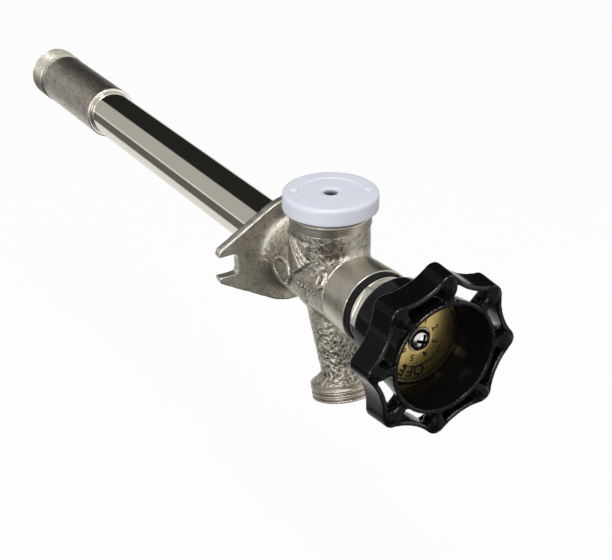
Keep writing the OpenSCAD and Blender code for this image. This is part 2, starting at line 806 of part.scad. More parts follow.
// Scalloped outline: lobes joined by concave arcs that touch them, inset by a wall
module scallop(inset) {
    step = 360 / lobes;
    ring = lobe_reach - lobe_r;
    c = cos(step / 2);
    hollow_r = (band_waist * band_waist + ring * ring - 2 * band_waist * ring * c - lobe_r * lobe_r)
        / (2 * lobe_r + 2 * ring * c - 2 * band_waist);
    hollow_ring = band_waist + hollow_r;
    rotate([0, 0, 90 - lobe_phase]) difference() {
        union() {
            polygon([for (i = [0 : 2 * lobes - 1])
                (i % 2 == 0 ? ring : hollow_ring) * [cos(i * step / 2), sin(i * step / 2)]]);
            for (i = [0 : lobes - 1]) rotate([0, 0, i * step])
                translate([ring, 0]) circle(r = lobe_r - inset, $fn = 32);
        }
        for (i = [0 : lobes - 1]) rotate([0, 0, (i + 0.5) * step])
            translate([hollow_ring, 0]) circle(r = hollow_r + inset, $fn = 128);
    }
}

module band() {
    toward_user(band_back_y, band_depth - rim_back, band_draft) difference() {
        scallop(0);
        scallop(band_wall);
    }
}

module cup_solid() {
    cone_y(cup_back_y, cup_front_y, cup_back_d / 2, cup_front_d / 2);
}

module cup_hollows() {
    slope = (cup_front_d - cup_back_d) / 2 / cup_depth;
    front_r = cup_front_d / 2 - cup_wall;
    floor_r = front_r - slope * (floor_front - cup_front_y);
    under_r = front_r - slope * (floor_back - cup_front_y);
    back_r = cup_back_d / 2 - cup_wall;
    cone_y(floor_front, cup_front_y, floor_r, front_r);
    disc_y(cup_front_y + sliver, cup_front_y - over, front_r);
    cone_y(floor_back, cup_back_y, under_r, back_r);
    disc_y(cup_back_y - sliver, cup_back_y + over, back_r);
}

// Ribs that swell from the cup rim toward each lobe, with a web behind
module ribs() {
    rib_y = -handle_front + rib_out_r;
    start = cup_front_d / 2 - cup_wall - slope_back();
    reach = (lobe_reach - band_wall / 2) * band_draft - start;
    for (i = [0 : lobes - 1]) rotate([0, i * 360 / lobes + lobe_phase, 0])
        translate([0, rib_y, start]) {
            cylinder(h = reach, r1 = rib_in_r, r2 = rib_out_r, $fn = 32);
            translate([-rib_web / 2, 0, 0]) cube([rib_web, rib_depth - rib_out_r, reach]);
        }
}

// How far the cup wall draws in over the depth of a rib
function slope_back() = (cup_front_d - cup_back_d) / 2 / cup_depth * rib_depth;

module handle() {
    color([0.03, 0.03, 0.035]) difference() {
        union() {
            difference() {
                union() {
                    cup_solid();
                    ribs();
                }
                cup_hollows();
            }
            band();
            disc_y(floor_back - sliver, hub_back, hub_d / 2);
        }
        translate([-square_w / 2 - seat_fit, floor_back, -square_w / 2 - seat_fit])
            cube([square_w + 2 * seat_fit, hub_len + over, square_w + 2 * seat_fit]);
        disc_y(floor_front - over, floor_back + over, screw_d / 2 + 2 * seat_fit);
    }
}

module label_disc() {
    color([0.7, 0.6, 0.36]) ring_y(label_front, floor_front, label_d / 2, label_hole_d / 2);
}

module lock_washer() {
    color([0.7, 0.7, 0.7]) ring_y(head_y, floor_front, label_hole_d / 2 - free_gap, screw_d / 2 + seat_fit);
}

module handle_screw() {
    dome = ((screw_head_d / 2) * (screw_head_d / 2) + screw_head_h * screw_head_h) / (2 * screw_head_h);
    color([0.8, 0.8, 0.8]) difference() {
        union() {
            intersection() {
                translate([0, head_y - screw_head_h + dome, 0]) sphere(r = dome);
                disc_y(head_y, head_y - screw_head_h - over, screw_head_d / 2 + over);
            }
            disc_y(head_y - sliver, head_y + screw_len, screw_d / 2);
        }
        for (a = [0, 90]) rotate([0, a + cross_turn, 0])
            translate([-cross_len / 2, head_y - screw_head_h - over, -cross_w / 2])
                cube([cross_len, over + cross_depth, cross_w]);
    }
}

head_body();
supply_tube();
inlet_body();
bonnet();
bonnet_gasket();
packing_washer();
packing();
packing_nut();
breaker_insert();
breaker_float();
float_seal();
cap_o_ring();
vent_cap();
spindle();
stem_rod();
rod_pin();
stem_guide();
washer_holder();
seat_washer();
washer_screw();
handle();
label_disc();
lock_washer();
handle_screw();
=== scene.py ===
# Looks of a frost free sillcock: surfaces, cast skin, threads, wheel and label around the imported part.
# Sizes are metres in the frame of the part: +Y into the wall, -Y out to the wheel, +Z up.

import json
import math

import bmesh
import bpy
from mathutils import Matrix, Vector, noise


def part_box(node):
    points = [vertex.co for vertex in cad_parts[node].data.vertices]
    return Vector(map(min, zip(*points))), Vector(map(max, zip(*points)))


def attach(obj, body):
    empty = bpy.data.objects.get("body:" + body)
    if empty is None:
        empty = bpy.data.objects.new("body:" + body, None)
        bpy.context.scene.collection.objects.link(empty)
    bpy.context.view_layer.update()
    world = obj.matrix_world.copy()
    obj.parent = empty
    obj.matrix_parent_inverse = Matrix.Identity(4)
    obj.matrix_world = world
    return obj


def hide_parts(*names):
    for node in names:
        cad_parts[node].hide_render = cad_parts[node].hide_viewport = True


bl_info = {
    "name": "Frost Free Sillcock",
    "version": (1, 0, 0),
    "blender": (4, 5, 0),
    "location": "View3D > Sidebar > Sillcock",
    "description": "Dresses the packed frost free sillcock in its cast, turned, plated and moulded surfaces",
    "category": "Object",
}

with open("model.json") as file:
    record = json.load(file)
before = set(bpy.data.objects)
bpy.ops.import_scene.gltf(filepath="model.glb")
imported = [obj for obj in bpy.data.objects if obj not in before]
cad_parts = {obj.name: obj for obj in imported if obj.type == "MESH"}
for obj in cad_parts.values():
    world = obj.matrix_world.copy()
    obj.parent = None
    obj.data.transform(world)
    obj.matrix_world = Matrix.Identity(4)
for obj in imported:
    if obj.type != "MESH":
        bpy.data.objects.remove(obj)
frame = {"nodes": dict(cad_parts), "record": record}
MM = 0.001
INCH = 25.4 * MM
TURN = math.tau
HALF = 0.5
# Points closer than this are one point
WELD = 1e-6
# Radius that an outline keeps where it would otherwise touch its axis
ON_AXIS = 0.01 * MM
# What the names of this script's own materials start with
FINISH = "finish_"

# Oval pads on the side of the barrel: middle along the tube and up the side, half sizes, share of rim
RING_PADS = (
    (-18.6 * MM, 0.2 * MM, 6.4 * MM, 5.4 * MM, 0.11),
    (-45.4 * MM, 7.2 * MM, 2.4 * MM, 3.3 * MM, 0.20),
)
# Painted dark patches on the casting, shade and dark reflections painted into the colour: middle, distance
# that is all dark, distance that is clean, darkness
PAINTED_DARK_PATCHES = (
    ((-7.5 * MM, -45.8 * MM, 18 * MM), 2.5 * MM, 8 * MM, 0.55),
    ((-1 * MM, -46 * MM, -27 * MM), 3 * MM, 9 * MM, 0.40),
)
# Words round the label: text, radius, height, and in degrees their middle and their pitch
WORDS = (
    ("OFF", 12.9 * MM, 4.4 * MM, 196, 17),
    ("ON", 12.9 * MM, 4.4 * MM, 14, 18),
    ("12345678", 7.4 * MM, 2.7 * MM, 180, 45),
)

# The camera: place in metres, angles in degrees, lens in millimetres
CAMERA_AT = (-0.26122, -0.44848, 0.25573)
CAMERA_ANGLES = (-30.93, 27.70, -0.58)
CAMERA_LENS = 82.35
# Soft lamps: name, place, side of the square in metres, power in watts
LAMPS = (
    ("key", (-0.18, -0.35, 0.88), 0.34, 4.6),
    ("side", (-0.80, -0.50, 0.22), 0.20, 1.6),
)
FLOOR_Z = -0.16
# How bright the room is to dull surfaces
ROOM_LIGHT = 0.44
# The studio cards that metal mirrors: start and stop as shares of a turn, and brightness
CARDS = (
    (0.000, 0.016, 1.00),
    (0.016, 0.133, 0.14),
    (0.133, 0.478, 0.85),
    (0.478, 0.806, 0.02),
    (0.806, 1.000, 0.50),
)
# Half of the soft edge between two cards, as a share of a turn
CARD_BLUR = 0.006


def reach(node, axis, end):
    """One coordinate of a node's box: end 0 is the low side and end 1 the high side."""
    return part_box(node)[end][axis]


def width(node, axis=0):
    """The size of a node's box along an axis."""
    return reach(node, axis, 1) - reach(node, axis, 0)


def length(text, size, low=0.0):
    """A length that a user can change, given in millimetres."""
    return bpy.props.FloatProperty(
        name=text, description=text, default=size * MM, min=low * MM, unit="LENGTH", precision=5
    )


def slant(text, degrees):
    """An angle that a user can change, given in degrees."""
    return bpy.props.FloatProperty(
        name=text, description=text, default=math.radians(degrees), subtype="ANGLE"
    )


def whole(text, number, low):
    """A whole number that a user can change."""
    return bpy.props.IntProperty(name=text, description=text, default=number, min=low)


def shade(text, colour):
    """A linear colour that a user can change."""
    return bpy.props.FloatVectorProperty(
        name=text, description=text, default=colour, size=3, min=0.0, max=1.0, subtype="COLOR"
    )


class SillcockCasting(bpy.types.PropertyGroup):
    """Sizes of the head casting and the turned faces on it"""

    barrel_r: length("Radius of the barrel", 14.8)
    boss_start: length("Distance from the wall face to the turned boss", 49)
    boss_front: length("Distance from the wall face to the front of the boss", 65)
    boss_r: length("Radius at the front of the boss", 15.7)
    boss_bore: length("Radius of the bore for the bonnet", 12.06)
    neck_y: length("Distance from the wall face to the neck axis", 31.6)
    neck_r: length("Radius of the neck", 15.65)
    neck_top: length("Height of the top of the neck", 28.7)
    collar_r: length("Radius of the turned collar on the neck", 16.25)
    collar_h: length("Height of the turned collar", 5)
    neck_bore: length("Radius of the bore of the neck", 11.35)
    spout_y: length("Distance from the wall face to the spout axis", 29.4)
    spout_tilt: slant("Angle of the spout forward of down", 15)
    spout_len: length("Length of the spout from the tube axis to its lip", 51)
    spout_r: length("Radius of the spout where it leaves the barrel", 9.8)
    hose_r: length("Outside radius of the hose thread", 13.4)
    hose_len: length("Length of the threaded end", 6.4)
    hose_depth: length("Depth of the hose thread", 1.3)
    spout_bore: length("Radius of the bore of the spout", 6.2)
    lip_bore: length("Radius of the bore at the lip", 9.6)
    lip_depth: length("Depth of the wide bore at the lip", 5)
    cell: length("Cell size of the cast skin", 0.5, 0.3)
    lumps: length("Height of the slow unevenness of the cast skin", 0.10)
    sand: length("Height of the sand grain of the cast skin", 0.13)
    pad_rise: length("Height of the bare raised pads", 1.05)


class SillcockInlet(bpy.types.PropertyGroup):
    """Sizes of the supply tube and of the inlet body on its far end"""

    tube_wall: length("Wall of the supply tube", 1.1)
    sleeve_r: length("Radius of the cast sleeve", 12.8)
    tube_seat: length("Depth of the tube in the sleeve", 20)
    throat_r: length("Radius of the bore past the tube", 9.7)
    groove_r: length("Radius of the groove behind the pipe thread", 11.3)
    groove_len: length("Length of the groove behind the pipe thread", 1.8)
    pipe_r: length("Outside radius of the pipe thread", 13.2)
    pipe_len: length("Length of the threaded end", 13)
    pipe_depth: length("Depth of the pipe thread", 0.95)
    socket_r: length("Radius of the solder socket", 8)
    socket_len: length("Depth of the solder socket", 12.7)
    passage_r: length("Radius of the bore behind the solder socket", 6)


class SillcockBonnet(bpy.types.PropertyGroup):
    """Sizes of the bonnet, its gasket and the packing nut"""

    collar_r: length("Radius of the round collar", 14.3)
    thread_r: length("Radius of the end that is screwed into the boss", 12)
    gasket_r: length("Outside radius of the gasket", 15)
    gasket_bore: length("Inside radius of the gasket", 12.1)
    gasket_rise: length("How far the gasket reaches past its solid", 1.0)
    hex_start: length("Distance from the wall face to the hexagon", 68.3)
    hex_len: length("Length of the hexagon", 6.7)
    hex_flats: length("Size of the hexagon across its flats", 25.4)
    hex_end_r: length("Radius at the turned end of the hexagon", 12.35)
    hex_bore: length("Radius of the bore of the hexagon", 11.4)
    nose_r: length("Radius of the bonnet in front of the hexagon", 8.9)
    nut_flats: length("Size of the packing nut across its flats", 21)
    nut_end_r: length("Radius at the turned end of the packing nut", 10.15)
    nut_bore: length("Radius of the bore of the packing nut", 4.85)


class SillcockCap(bpy.types.PropertyGroup):
    """Sizes of the white vent cap"""

    bottom: length("Height of the underside of the rim", 29.5)
    skirt_r: length("Radius of the skirt inside the neck", 11.3)
    seat_r: length("Inside radius of the lip under the skirt", 5.5)
    hollow_r: length("Radius of the hollow under the plate", 9)
    plate: length("Thickness of the plate in the middle", 3.4)
    step_r: length("Radius of the shallow step", 12.6)
    step: length("Depth of the shallow step", 0.35)
    vent_r: length("Radius at the mouth of the vent hole", 2.9)
    vent_depth: length("Depth of the wide part of the vent hole", 2.0)
    vent_bore: length("Radius of the vent hole below its wide part", 1.7)
    dimple_at: length("Distance of a dimple from the middle", 14.4)
    dimple_r: length("Radius of a dimple", 1.5)
    dimple_depth: length("Depth of a dimple", 0.8)
    dimple_turn: slant("Turn of the two dimples about the neck", -31)


class SillcockWheel(bpy.types.PropertyGroup):
    """Sizes of the wheel, its label and its screw"""

    lobes: whole("Number of lobes", 8, 3)
    phase: slant("Turn of the first lobe from straight up", 3.5)
    band_front: length("Distance from the wall face to the front of the band", 107.2)
    rim_r: length("Radius just outside the rim of the cup", 22.5)
    bulb_at: length("Distance of a rib's bulb from the axis", 27.3)
    bulb_width: length("Half width of a bulb", 3.3)
    bulb_depth: length("Half depth of a bulb", 4.6)
    bulb_reach: length("Half length of a bulb, outward", 4.6)
    cell: length("Cell size of the moulded skin", 0.5, 0.3)
    rounding: whole("Passes that round the edges", 4, 0)
    label_r: length("Radius of the label disc", 17.5)
    label_hole: length("Radius of the hole in the label disc", 4.9)
    label_rim: length("Radius of the printed circle", 16.2)
    label_track: length("Radius of the printed arrows", 11.2)
    screw_r: length("Radius of the head of the screw", 4.3)
    screw_h: length("Height of the head of the screw", 2.8)
    shank_r: length("Radius of the shank of the screw", 2)
    cross_arm: length("Length of an arm of the cross recess", 2.8)
    cross_slot: length("Width of an arm of the cross recess", 1.15)
    cross_depth: length("Depth of the cross recess", 1.8)
    cross_turn: slant("Turn of the cross recess", 20)


class SillcockFinish(bpy.types.PropertyGroup):
    """Colours of the finishes"""

    nickel: shade("Plated cast metal", (0.64, 0.61, 0.54))
    # Also the colour of the painted shade in the casting's corners and of its painted dark patches
    nickel_dark: shade("Plated metal in its recesses", (0.095, 0.082, 0.065))
    nickel_edge: shade("Plated metal where it is rubbed bright", (0.86, 0.84, 0.79))
    mirror: shade("Bright plated tube", (0.80, 0.785, 0.72))
    gloss_black: shade("Enamel of the wheel", (0.004, 0.004, 0.0045))
    cap_white: shade("Moulded vent cap", (0.76, 0.79, 0.87))
    gold: shade("Label disc", (0.66, 0.51, 0.20))
    ink: shade("Print on the label disc", (0.006, 0.005, 0.004))
    brass: shade("Turned brass", (0.72, 0.52, 0.24))
    rubber: shade("Seals", (0.006, 0.006, 0.007))


class Wire:
    """A socket that answers to arithmetic, so shader maths reads as a formula"""

    def __init__(self, recipe, socket):
        self.recipe = recipe
        self.socket = socket

    def maths(self, operation, *values, clamp=False):
        settings = {"operation": operation, "use_clamp": clamp}
        return self.recipe.node("Math", settings, dict(enumerate(values)))

    def __add__(self, other):
        return self.maths("ADD", self, other)

    __radd__ = __add__

    def __mul__(self, other):
        return self.maths("MULTIPLY", self, other)

    __rmul__ = __mul__

    def __sub__(self, other):
        return self.maths("SUBTRACT", self, other)

    def __rsub__(self, other):
        return self.maths("SUBTRACT", other, self)

    def __truediv__(self, other):
        return self.maths("DIVIDE", self, other)

    def __pow__(self, other):
        return self.maths("POWER", self, other)

    def clamped(self):
        return self.maths("ADD", self, 0.0, clamp=True)

    def between(self, low, high):
        """0 below low, 1 above high and smooth between them."""
        settings = {"interpolation_type": "SMOOTHSTEP"}
        return self.recipe.node("MapRange", settings, {"Value": self, "From Min": low, "From Max": high})

    def fading(self, low, high):
        """1 below low, 0 above high and smooth between them."""
        return 1.0 - self.between(low, high)

    def within(self, low, high, soft):
        """1 from low to high and 0 elsewhere, with soft edges."""
        return self.between(low - soft, low + soft) * self.fading(high - soft, high + soft)


class Recipe:
    """The nodes of one material or world"""

    def __init__(self, owner):
        owner.use_nodes = True
        self.owner = owner
        self.tree = owner.node_tree
        self.tree.nodes.clear()

    def node(self, kind, settings, inputs, output=0):
        """Adds a node of the kind, sets it up, joins its inputs and gives back one output."""
        made = self.tree.nodes.new("ShaderNode" + kind)
        for key, value in settings.items():
            if key == "stops":
                self.set_stops(made.color_ramp, value)
            else:
                setattr(made, key, value)
        for key, value in inputs.items():
            if isinstance(value, Wire):
                self.tree.links.new(value.socket, made.inputs[key])
            else:
                made.inputs[key].default_value = value
        return Wire(self, made.outputs[output])

    def set_stops(self, ramp, stops):
        while len(ramp.elements) < len(stops):
            ramp.elements.new(0.5)
        for element, (place, colour) in zip(ramp.elements, stops):
            element.position = place
            element.color = (*colour, 1.0)

    def spot(self):
        """The point on the piece, in metres."""
        return self.node("TexCoord", {}, {}, "Object")

    def placed(self, move=(0.0, 0.0, 0.0), turn=(0.0, 0.0, 0.0), scale=(1.0, 1.0, 1.0)):
        """The point, scaled, turned and moved."""
        inputs = {"Vector": self.spot(), "Location": move, "Rotation": turn, "Scale": scale}
        return self.node("Mapping", {}, inputs)

    def crest(self):
        """How far the piece stands out: above 0 on edges, below 0 in corners."""
        return self.node("Attribute", {"attribute_name": "crest"}, {}, "Fac")

    def parts(self, vector):
        """The x, y and z of a vector."""
        split = self.node("SeparateXYZ", {}, {"Vector": vector})
        return [Wire(self, socket) for socket in split.socket.node.outputs]

    def grain(self, scale, detail=2.0, rough=0.5, at=None):
        """Soft noise from 0 to 1 with this many lumps per metre."""
        inputs = {"Vector": at or self.spot(), "Scale": scale, "Detail": detail, "Roughness": rough}
        return self.node("TexNoise", {}, inputs)

    def pits(self, scale):
        """Distance to scattered points, 0 in each pit."""
        return self.node("TexVoronoi", {}, {"Vector": self.spot(), "Scale": scale})

    def around(self, centre, inner, outer):
        """1 near a point, falling to 0 at the outer distance."""
        x, y, z = self.parts(self.placed(tuple(-part for part in centre)))
        return ((x * x + y * y + z * z) ** HALF).fading(inner, outer)

    def blend(self, amount, first, second):
        """A colour between two colours."""
        settings = {"data_type": "RGBA"}
        inputs = {0: amount, 6: self.tint(first), 7: self.tint(second)}
        return self.node("Mix", settings, inputs, 2)

    def tint(self, colour):
        """A linked colour as it is, or three numbers with an opaque fourth."""
        return colour if isinstance(colour, Wire) else (*colour, 1.0)

    def bump(self, height, depth, strength=1.0):
        """A normal from a height of 0 to 1 that stands for this depth in metres."""
        return self.node("Bump", {}, {"Height": height, "Distance": depth, "Strength": strength})

    def surface(self, **inputs):
        """Ends the material with a Principled shader."""
        named = {key.replace("_", " ").title().replace("Ior", "IOR"): value for key, value in inputs.items()}
        for key in ("Base Color", "Emission Color"):
            if key in named:
                named[key] = self.tint(named[key])
        self.end(self.node("BsdfPrincipled", {}, named))
        return self.owner

    def end(self, shader):
        """Joins the shader to the output of the material or the world."""
        kind = "World" if isinstance(self.owner, bpy.types.World) else "Material"
        made = self.tree.nodes.new("ShaderNodeOutput" + kind)
        self.tree.links.new(shader.socket, made.inputs["Surface"])


def material(name):
    """A recipe for a new material, named apart from the plain ones that the part is packed with."""
    return Recipe(bpy.data.materials.new(FINISH + name))


def finishes():
    """The colours that a user can change."""
    return bpy.context.scene.sillcock_finish


def cast_nickel(name="cast_nickel", fine=1.0, cast=1.0, bright=()):
    """Nickel plate over a sand cast skin: darker in its sand pits, with painted shade in its corners and
    painted dark patches, rubbed bright on the edges.

    A larger fine makes smaller grain, cast is how much of the sand shows, and bright lists the
    stretches along the tube that are polished.
    """
    look = finishes()
    made = material(name)
    y, z = made.parts(made.spot())[1:]
    crest = made.crest()
    flange = y.between(-7.5 * MM, -4.8 * MM) * y.fading(4 * MM, 8 * MM)
    low = z.fading(-24 * MM, -13 * MM)
    sand = made.grain(1150 * fine, 3.0, 0.65)
    dimple = made.grain(560 * fine)
    cell = made.pits(560 * fine)
    stain = made.grain(110, 3.0, 0.6)
    edge = crest.between(0.3, 0.95)
    for start, stop in bright:
        edge = edge.maths("MAXIMUM", edge, y.within(start, stop, 0.1 * MM))
    sandy = (1.0 - flange * 0.55) * (1.0 - edge * 0.8) * cast
    pit = sand.fading(0.34, 0.50) * 0.45 + dimple.fading(0.36, 0.52) * 0.25
    pit = pit + cell.fading(0.10, 0.45) * low * 0.55
    # Painted shade: dark patches on the front of the neck and on the spout, standing in for dark reflections
    painted_dark = sum(made.around(*patch) * darkness for *patch, darkness in PAINTED_DARK_PATCHES)
    # Real stains, plus painted shade in the corners where the crest is below 0, plus the painted dark
    # patches
    worn = stain.between(0.42, 0.75) * 0.3 + crest.fading(-0.55, -0.05) * 0.6 + painted_dark * cast
    # Darker in the sand pits and on the flange, plus the stains and the painted shade
    dirt_and_shade = pit * sandy * 1.15 + worn * (1.0 - edge) + flange * (1.0 - edge) * 0.2
    height = (sand * 0.8 + dimple * 0.5 + cell * low * 1.3) * sandy
    return made.surface(
        base_color=made.blend(
            edge * 0.85, made.blend(dirt_and_shade.clamped(), look.nickel, look.nickel_dark), look.nickel_edge
        ),
        metallic=1.0,
        roughness=0.20 + sand * 0.12 + stain * 0.10 + flange * 0.16 - edge * 0.10,
        normal=made.bump(height, 0.46 * MM / fine),
    )


def sleeve_nickel():
    """The cast skin of the sleeve, polished at its front and beside the groove."""
    size = bpy.context.scene.sillcock_inlet
    front = reach("inlet_body", 1, 0)
    groove = reach("inlet_body", 1, 1) - size.pipe_len - size.groove_len
    bright = ((front - MM, front + 0.9 * MM), (groove - 0.7 * MM, groove + 0.3 * MM))
    return cast_nickel("sleeve_nickel", 1.1, 1.0, bright)


def turned_nickel(name="turned_nickel", colour=(0.78, 0.76, 0.71), rough=0.26):
    """Plated turned metal, with fine tool marks round the tube axis."""
    made = material(name)
    x, y, z = made.parts(made.spot())
    off_axis = (x * x + z * z) ** HALF
    across = made.node("CombineXYZ", {}, {"X": off_axis * 5200, "Y": y * 5200})
    marks = made.grain(1.0, 2.0, 0.6, across)
    cloud = made.grain(160)
    return made.surface(
        base_color=made.blend(cloud.between(0.35, 0.8) * 0.35, colour, tuple(c * 0.62 for c in colour)),
        metallic=1.0,
        roughness=rough + marks * 0.10 + cloud * 0.06,
        normal=made.bump(marks, 0.010 * MM, 0.6),
    )


def mirror_tube():
    """Bright plated tube with faint drawing lines along it and a few specks."""
    made = material("tube_nickel")
    lines = made.grain(1.0, at=made.placed(scale=(2600.0, 22.0, 2600.0)))
    haze = made.grain(70)
    fleck = made.pits(420).fading(0.02, 0.06) * made.grain(150).between(0.6, 0.66)
    return made.surface(
        base_color=made.blend(haze * 0.25 + fleck * 0.5, finishes().mirror, (0.52, 0.49, 0.42)),
        metallic=1.0,
        roughness=0.045 + lines * 0.035 + haze * 0.03 + fleck * 0.2,
        normal=made.bump(lines, 0.002 * MM, 0.35),
    )


def gloss_black():
    """Thick glossy enamel with a faint orange peel, dust and a painted highlight in lighter grey along its
    edges, which mirror most.
    """
    made = material("black_gloss")
    peel = made.grain(330)
    dust = made.grain(1500, 2.0, 0.6).between(0.68, 0.8)
    crest = made.crest()
    # Light specks of dust, and a painted highlight in lighter grey along the edges
    worn = dust * 0.08 + crest.between(0.7, 1.5) * 0.08
    return made.surface(
        base_color=made.blend(worn, finishes().gloss_black, (0.12, 0.12, 0.125)),
        roughness=0.10 + peel * 0.06 + dust * 0.15,
        specular_ior_level=0.10,
        coat_weight=crest.between(0.3, 0.9),
        coat_roughness=0.05,
        coat_ior=2.4,
        normal=made.bump(peel, 0.04 * MM, 0.5),
    )


def screw_steel():
    """Plated steel, with painted shade, near black, inside the cross recess of the screw."""
    size = bpy.context.scene.sillcock_wheel
    made = material("screw_steel")
    x, _, z = made.parts(made.placed(turn=(0.0, -size.cross_turn, 0.0)))
    sides = x.maths("ABSOLUTE", x), z.maths("ABSOLUTE", z)
    near = x.maths("MINIMUM", *sides)
    far = x.maths("MAXIMUM", *sides)
    soft = 0.08 * MM
    half = size.cross_slot / 2 + 0.025 * MM
    # Painted shade: the cross recess is painted near black and rough
    recess = near.fading(half, half + soft) * far.fading(size.cross_arm, size.cross_arm + soft)
    scuff = made.grain(700, 3.0, 0.6)
    steel = made.blend(scuff * 0.4, (0.88, 0.88, 0.87), (0.55, 0.55, 0.56))
    return made.surface(
        base_color=made.blend(recess, steel, (0.01, 0.01, 0.01)),
        metallic=1.0,
        roughness=0.10 + scuff * 0.08 + recess * 0.5,
        normal=made.bump(scuff, 0.01 * MM, 0.5),
    )


def white_plastic():
    """Slightly milky moulded plastic with soft flow marks, painted shade in its hollows, and painted shade,
    near black, down the vent hole.
    """
    size = bpy.context.scene.sillcock_casting
    top = reach("vent_cap", 2, 1)
    made = material("white_plastic")
    flow = made.grain(120)
    skin = made.grain(1900)
    x, y, z = made.parts(made.placed((0.0, size.neck_y, 0.0)))
    off_axis = (x * x + y * y) ** HALF
    # Painted shade, near black, down the vent hole
    vent = off_axis.fading(2.5 * MM, 3.1 * MM) * z.fading(top - 1.9 * MM, top - 0.8 * MM)
    # Painted shade in the hollows, such as the dimples
    hollow_shade = made.crest().fading(-0.6, -0.05) * 0.35
    colour = made.blend(flow.between(0.35, 0.75) * 0.5, finishes().cap_white, (0.72, 0.74, 0.84))
    colour = made.blend(hollow_shade, colour, (0.42, 0.43, 0.49))
    return made.surface(
        base_color=made.blend(vent * 0.97, colour, (0.02, 0.03, 0.03)),
        roughness=0.36 + flow * 0.1,
        subsurface_weight=0.12,
        subsurface_radius=(0.002, 0.002, 0.0025),
        normal=made.bump(skin * 0.4 + flow, 0.03 * MM, 0.35),
    )


def label_gold():
    """Thin satin gold disc, brushed in circles."""
    made = material("label_gold")
    x, y, z = made.parts(made.spot())
    off_axis = (x * x + z * z) ** HALF
    rings = made.grain(1.0, 2.0, 0.6, made.node("CombineXYZ", {}, {"X": off_axis * 4200, "Y": y}))
    cloud = made.grain(230, 3.0, 0.6)
    return made.surface(
        base_color=made.blend(cloud.between(0.35, 0.7) * 0.45, finishes().gold, (0.50, 0.37, 0.13)),
        metallic=1.0,
        roughness=0.20 + cloud * 0.08,
        normal=made.bump(rings, 0.006 * MM, 0.4),
    )


def plain(name, colour, second, rough, scale, depth, metallic=0.0):
    """A two tone finish with a fine skin, for seals, ink and steel."""
    made = material(name)
    cloud = made.grain(scale, 3.0, 0.6)
    return made.surface(
        base_color=made.blend(cloud.between(0.3, 0.7), colour, second),
        metallic=metallic,
        roughness=rough + cloud * 0.12,
        specular_ior_level=0.12,
        normal=made.bump(cloud, depth, 0.6),
    )


MAKERS = {
    "cast_nickel": lambda: cast_nickel(bright=((-3.7 * MM, MM),)),
    "satin_nickel": lambda: cast_nickel("satin_nickel", 1.6, 0.3),
    "sleeve_nickel": sleeve_nickel,
    "turned_nickel": turned_nickel,
    "tube_nickel": mirror_tube,
    "black_gloss": gloss_black,
    "white_plastic": white_plastic,
    "label_gold": label_gold,
    "screw_steel": screw_steel,
    "brass": lambda: turned_nickel("brass", finishes().brass, 0.22),
    "steel": lambda: plain("steel", (0.80, 0.80, 0.80), (0.62, 0.63, 0.65), 0.14, 700, 0.01 * MM, 1.0),
    "packing": lambda: plain("packing", (0.03, 0.03, 0.033), (0.09, 0.09, 0.095), 0.55, 2400, 0.08 * MM),
    "ink": lambda: plain("ink", finishes().ink, (0.02, 0.017, 0.014), 0.42, 1800, 0.01 * MM),
    "black_rubber": lambda: plain(
        "black_rubber", finishes().rubber, (0.016, 0.016, 0.017), 0.5, 1500, 0.03 * MM
    ),
}


def gather(name):
    """A material by name, made the first time that it is asked for."""
    return bpy.data.materials.get(FINISH + name) or MAKERS[name]()


ALONG_TUBE = Matrix.Rotation(-math.pi / 2, 4, "X")
TOWARD_USER = Matrix.Rotation(math.pi / 2, 4, "X")


def at_neck():
    """Where a piece turned about the neck goes."""
    return Matrix.Translation((0.0, -bpy.context.scene.sillcock_casting.neck_y, 0.0))


def along_spout():
    """Where a piece turned about the spout goes: its z runs down the spout."""
    size = bpy.context.scene.sillcock_casting
    return Matrix.Translation((0.0, -size.spout_y, 0.0)) @ Matrix.Rotation(math.pi - size.spout_tilt, 4, "X")


def soften(corners, bends=4):
    """A closed outline through corners of (along, radius, rounding), with each corner rounded."""
    line = []
    for index, (along, radius, rounding) in enumerate(corners):
        here = Vector((along, radius))
        if not rounding:
            line.append(here)
            continue
        back = Vector(corners[index - 1][:2]) - here
        ahead = Vector(corners[(index + 1) % len(corners)][:2]) - here
        cut = rounding / math.tan(back.angle(ahead) / 2)
        cut = min(cut, back.length * 0.49, ahead.length * 0.49)
        start = here + back.normalized() * cut
        stop = here + ahead.normalized() * cut
        for step in range(bends + 1):
            t = step / bends
            line.append(start * (1 - t) ** 2 + here * 2 * t * (1 - t) + stop * t**2)
    return line


def divided(line, gap):
    """A closed outline with extra points, so that none lie further apart than the gap."""
    fine = []
    for index, point in enumerate(line):
        after = line[(index + 1) % len(line)]
        count = max(1, math.ceil((after - point).length / gap))
        fine += [point.lerp(after, step / count) for step in range(count)]
    return fine


def ring(start, stop, inner, outer):
    """The closed outline of a plain ring."""
    return [Vector(corner) for corner in ((start, inner), (start, outer), (stop, outer), (stop, inner))]


def lathe(outline, steps=128):
    """Spins a closed outline of (along, radius) about z."""
    bm = bmesh.new()
    verts = [bm.verts.new((point[1], 0.0, point[0])) for point in outline]
    edges = [bm.edges.new((verts[i - 1], verts[i])) for i in range(len(verts))]
    bmesh.ops.spin(
        bm, geom=verts + edges, cent=(0, 0, 0), axis=(0, 0, 1), angle=TURN, steps=steps, use_merge=True
    )
    bmesh.ops.remove_doubles(bm, verts=bm.verts, dist=WELD)
    bmesh.ops.recalc_face_normals(bm, faces=bm.faces)
    return bm


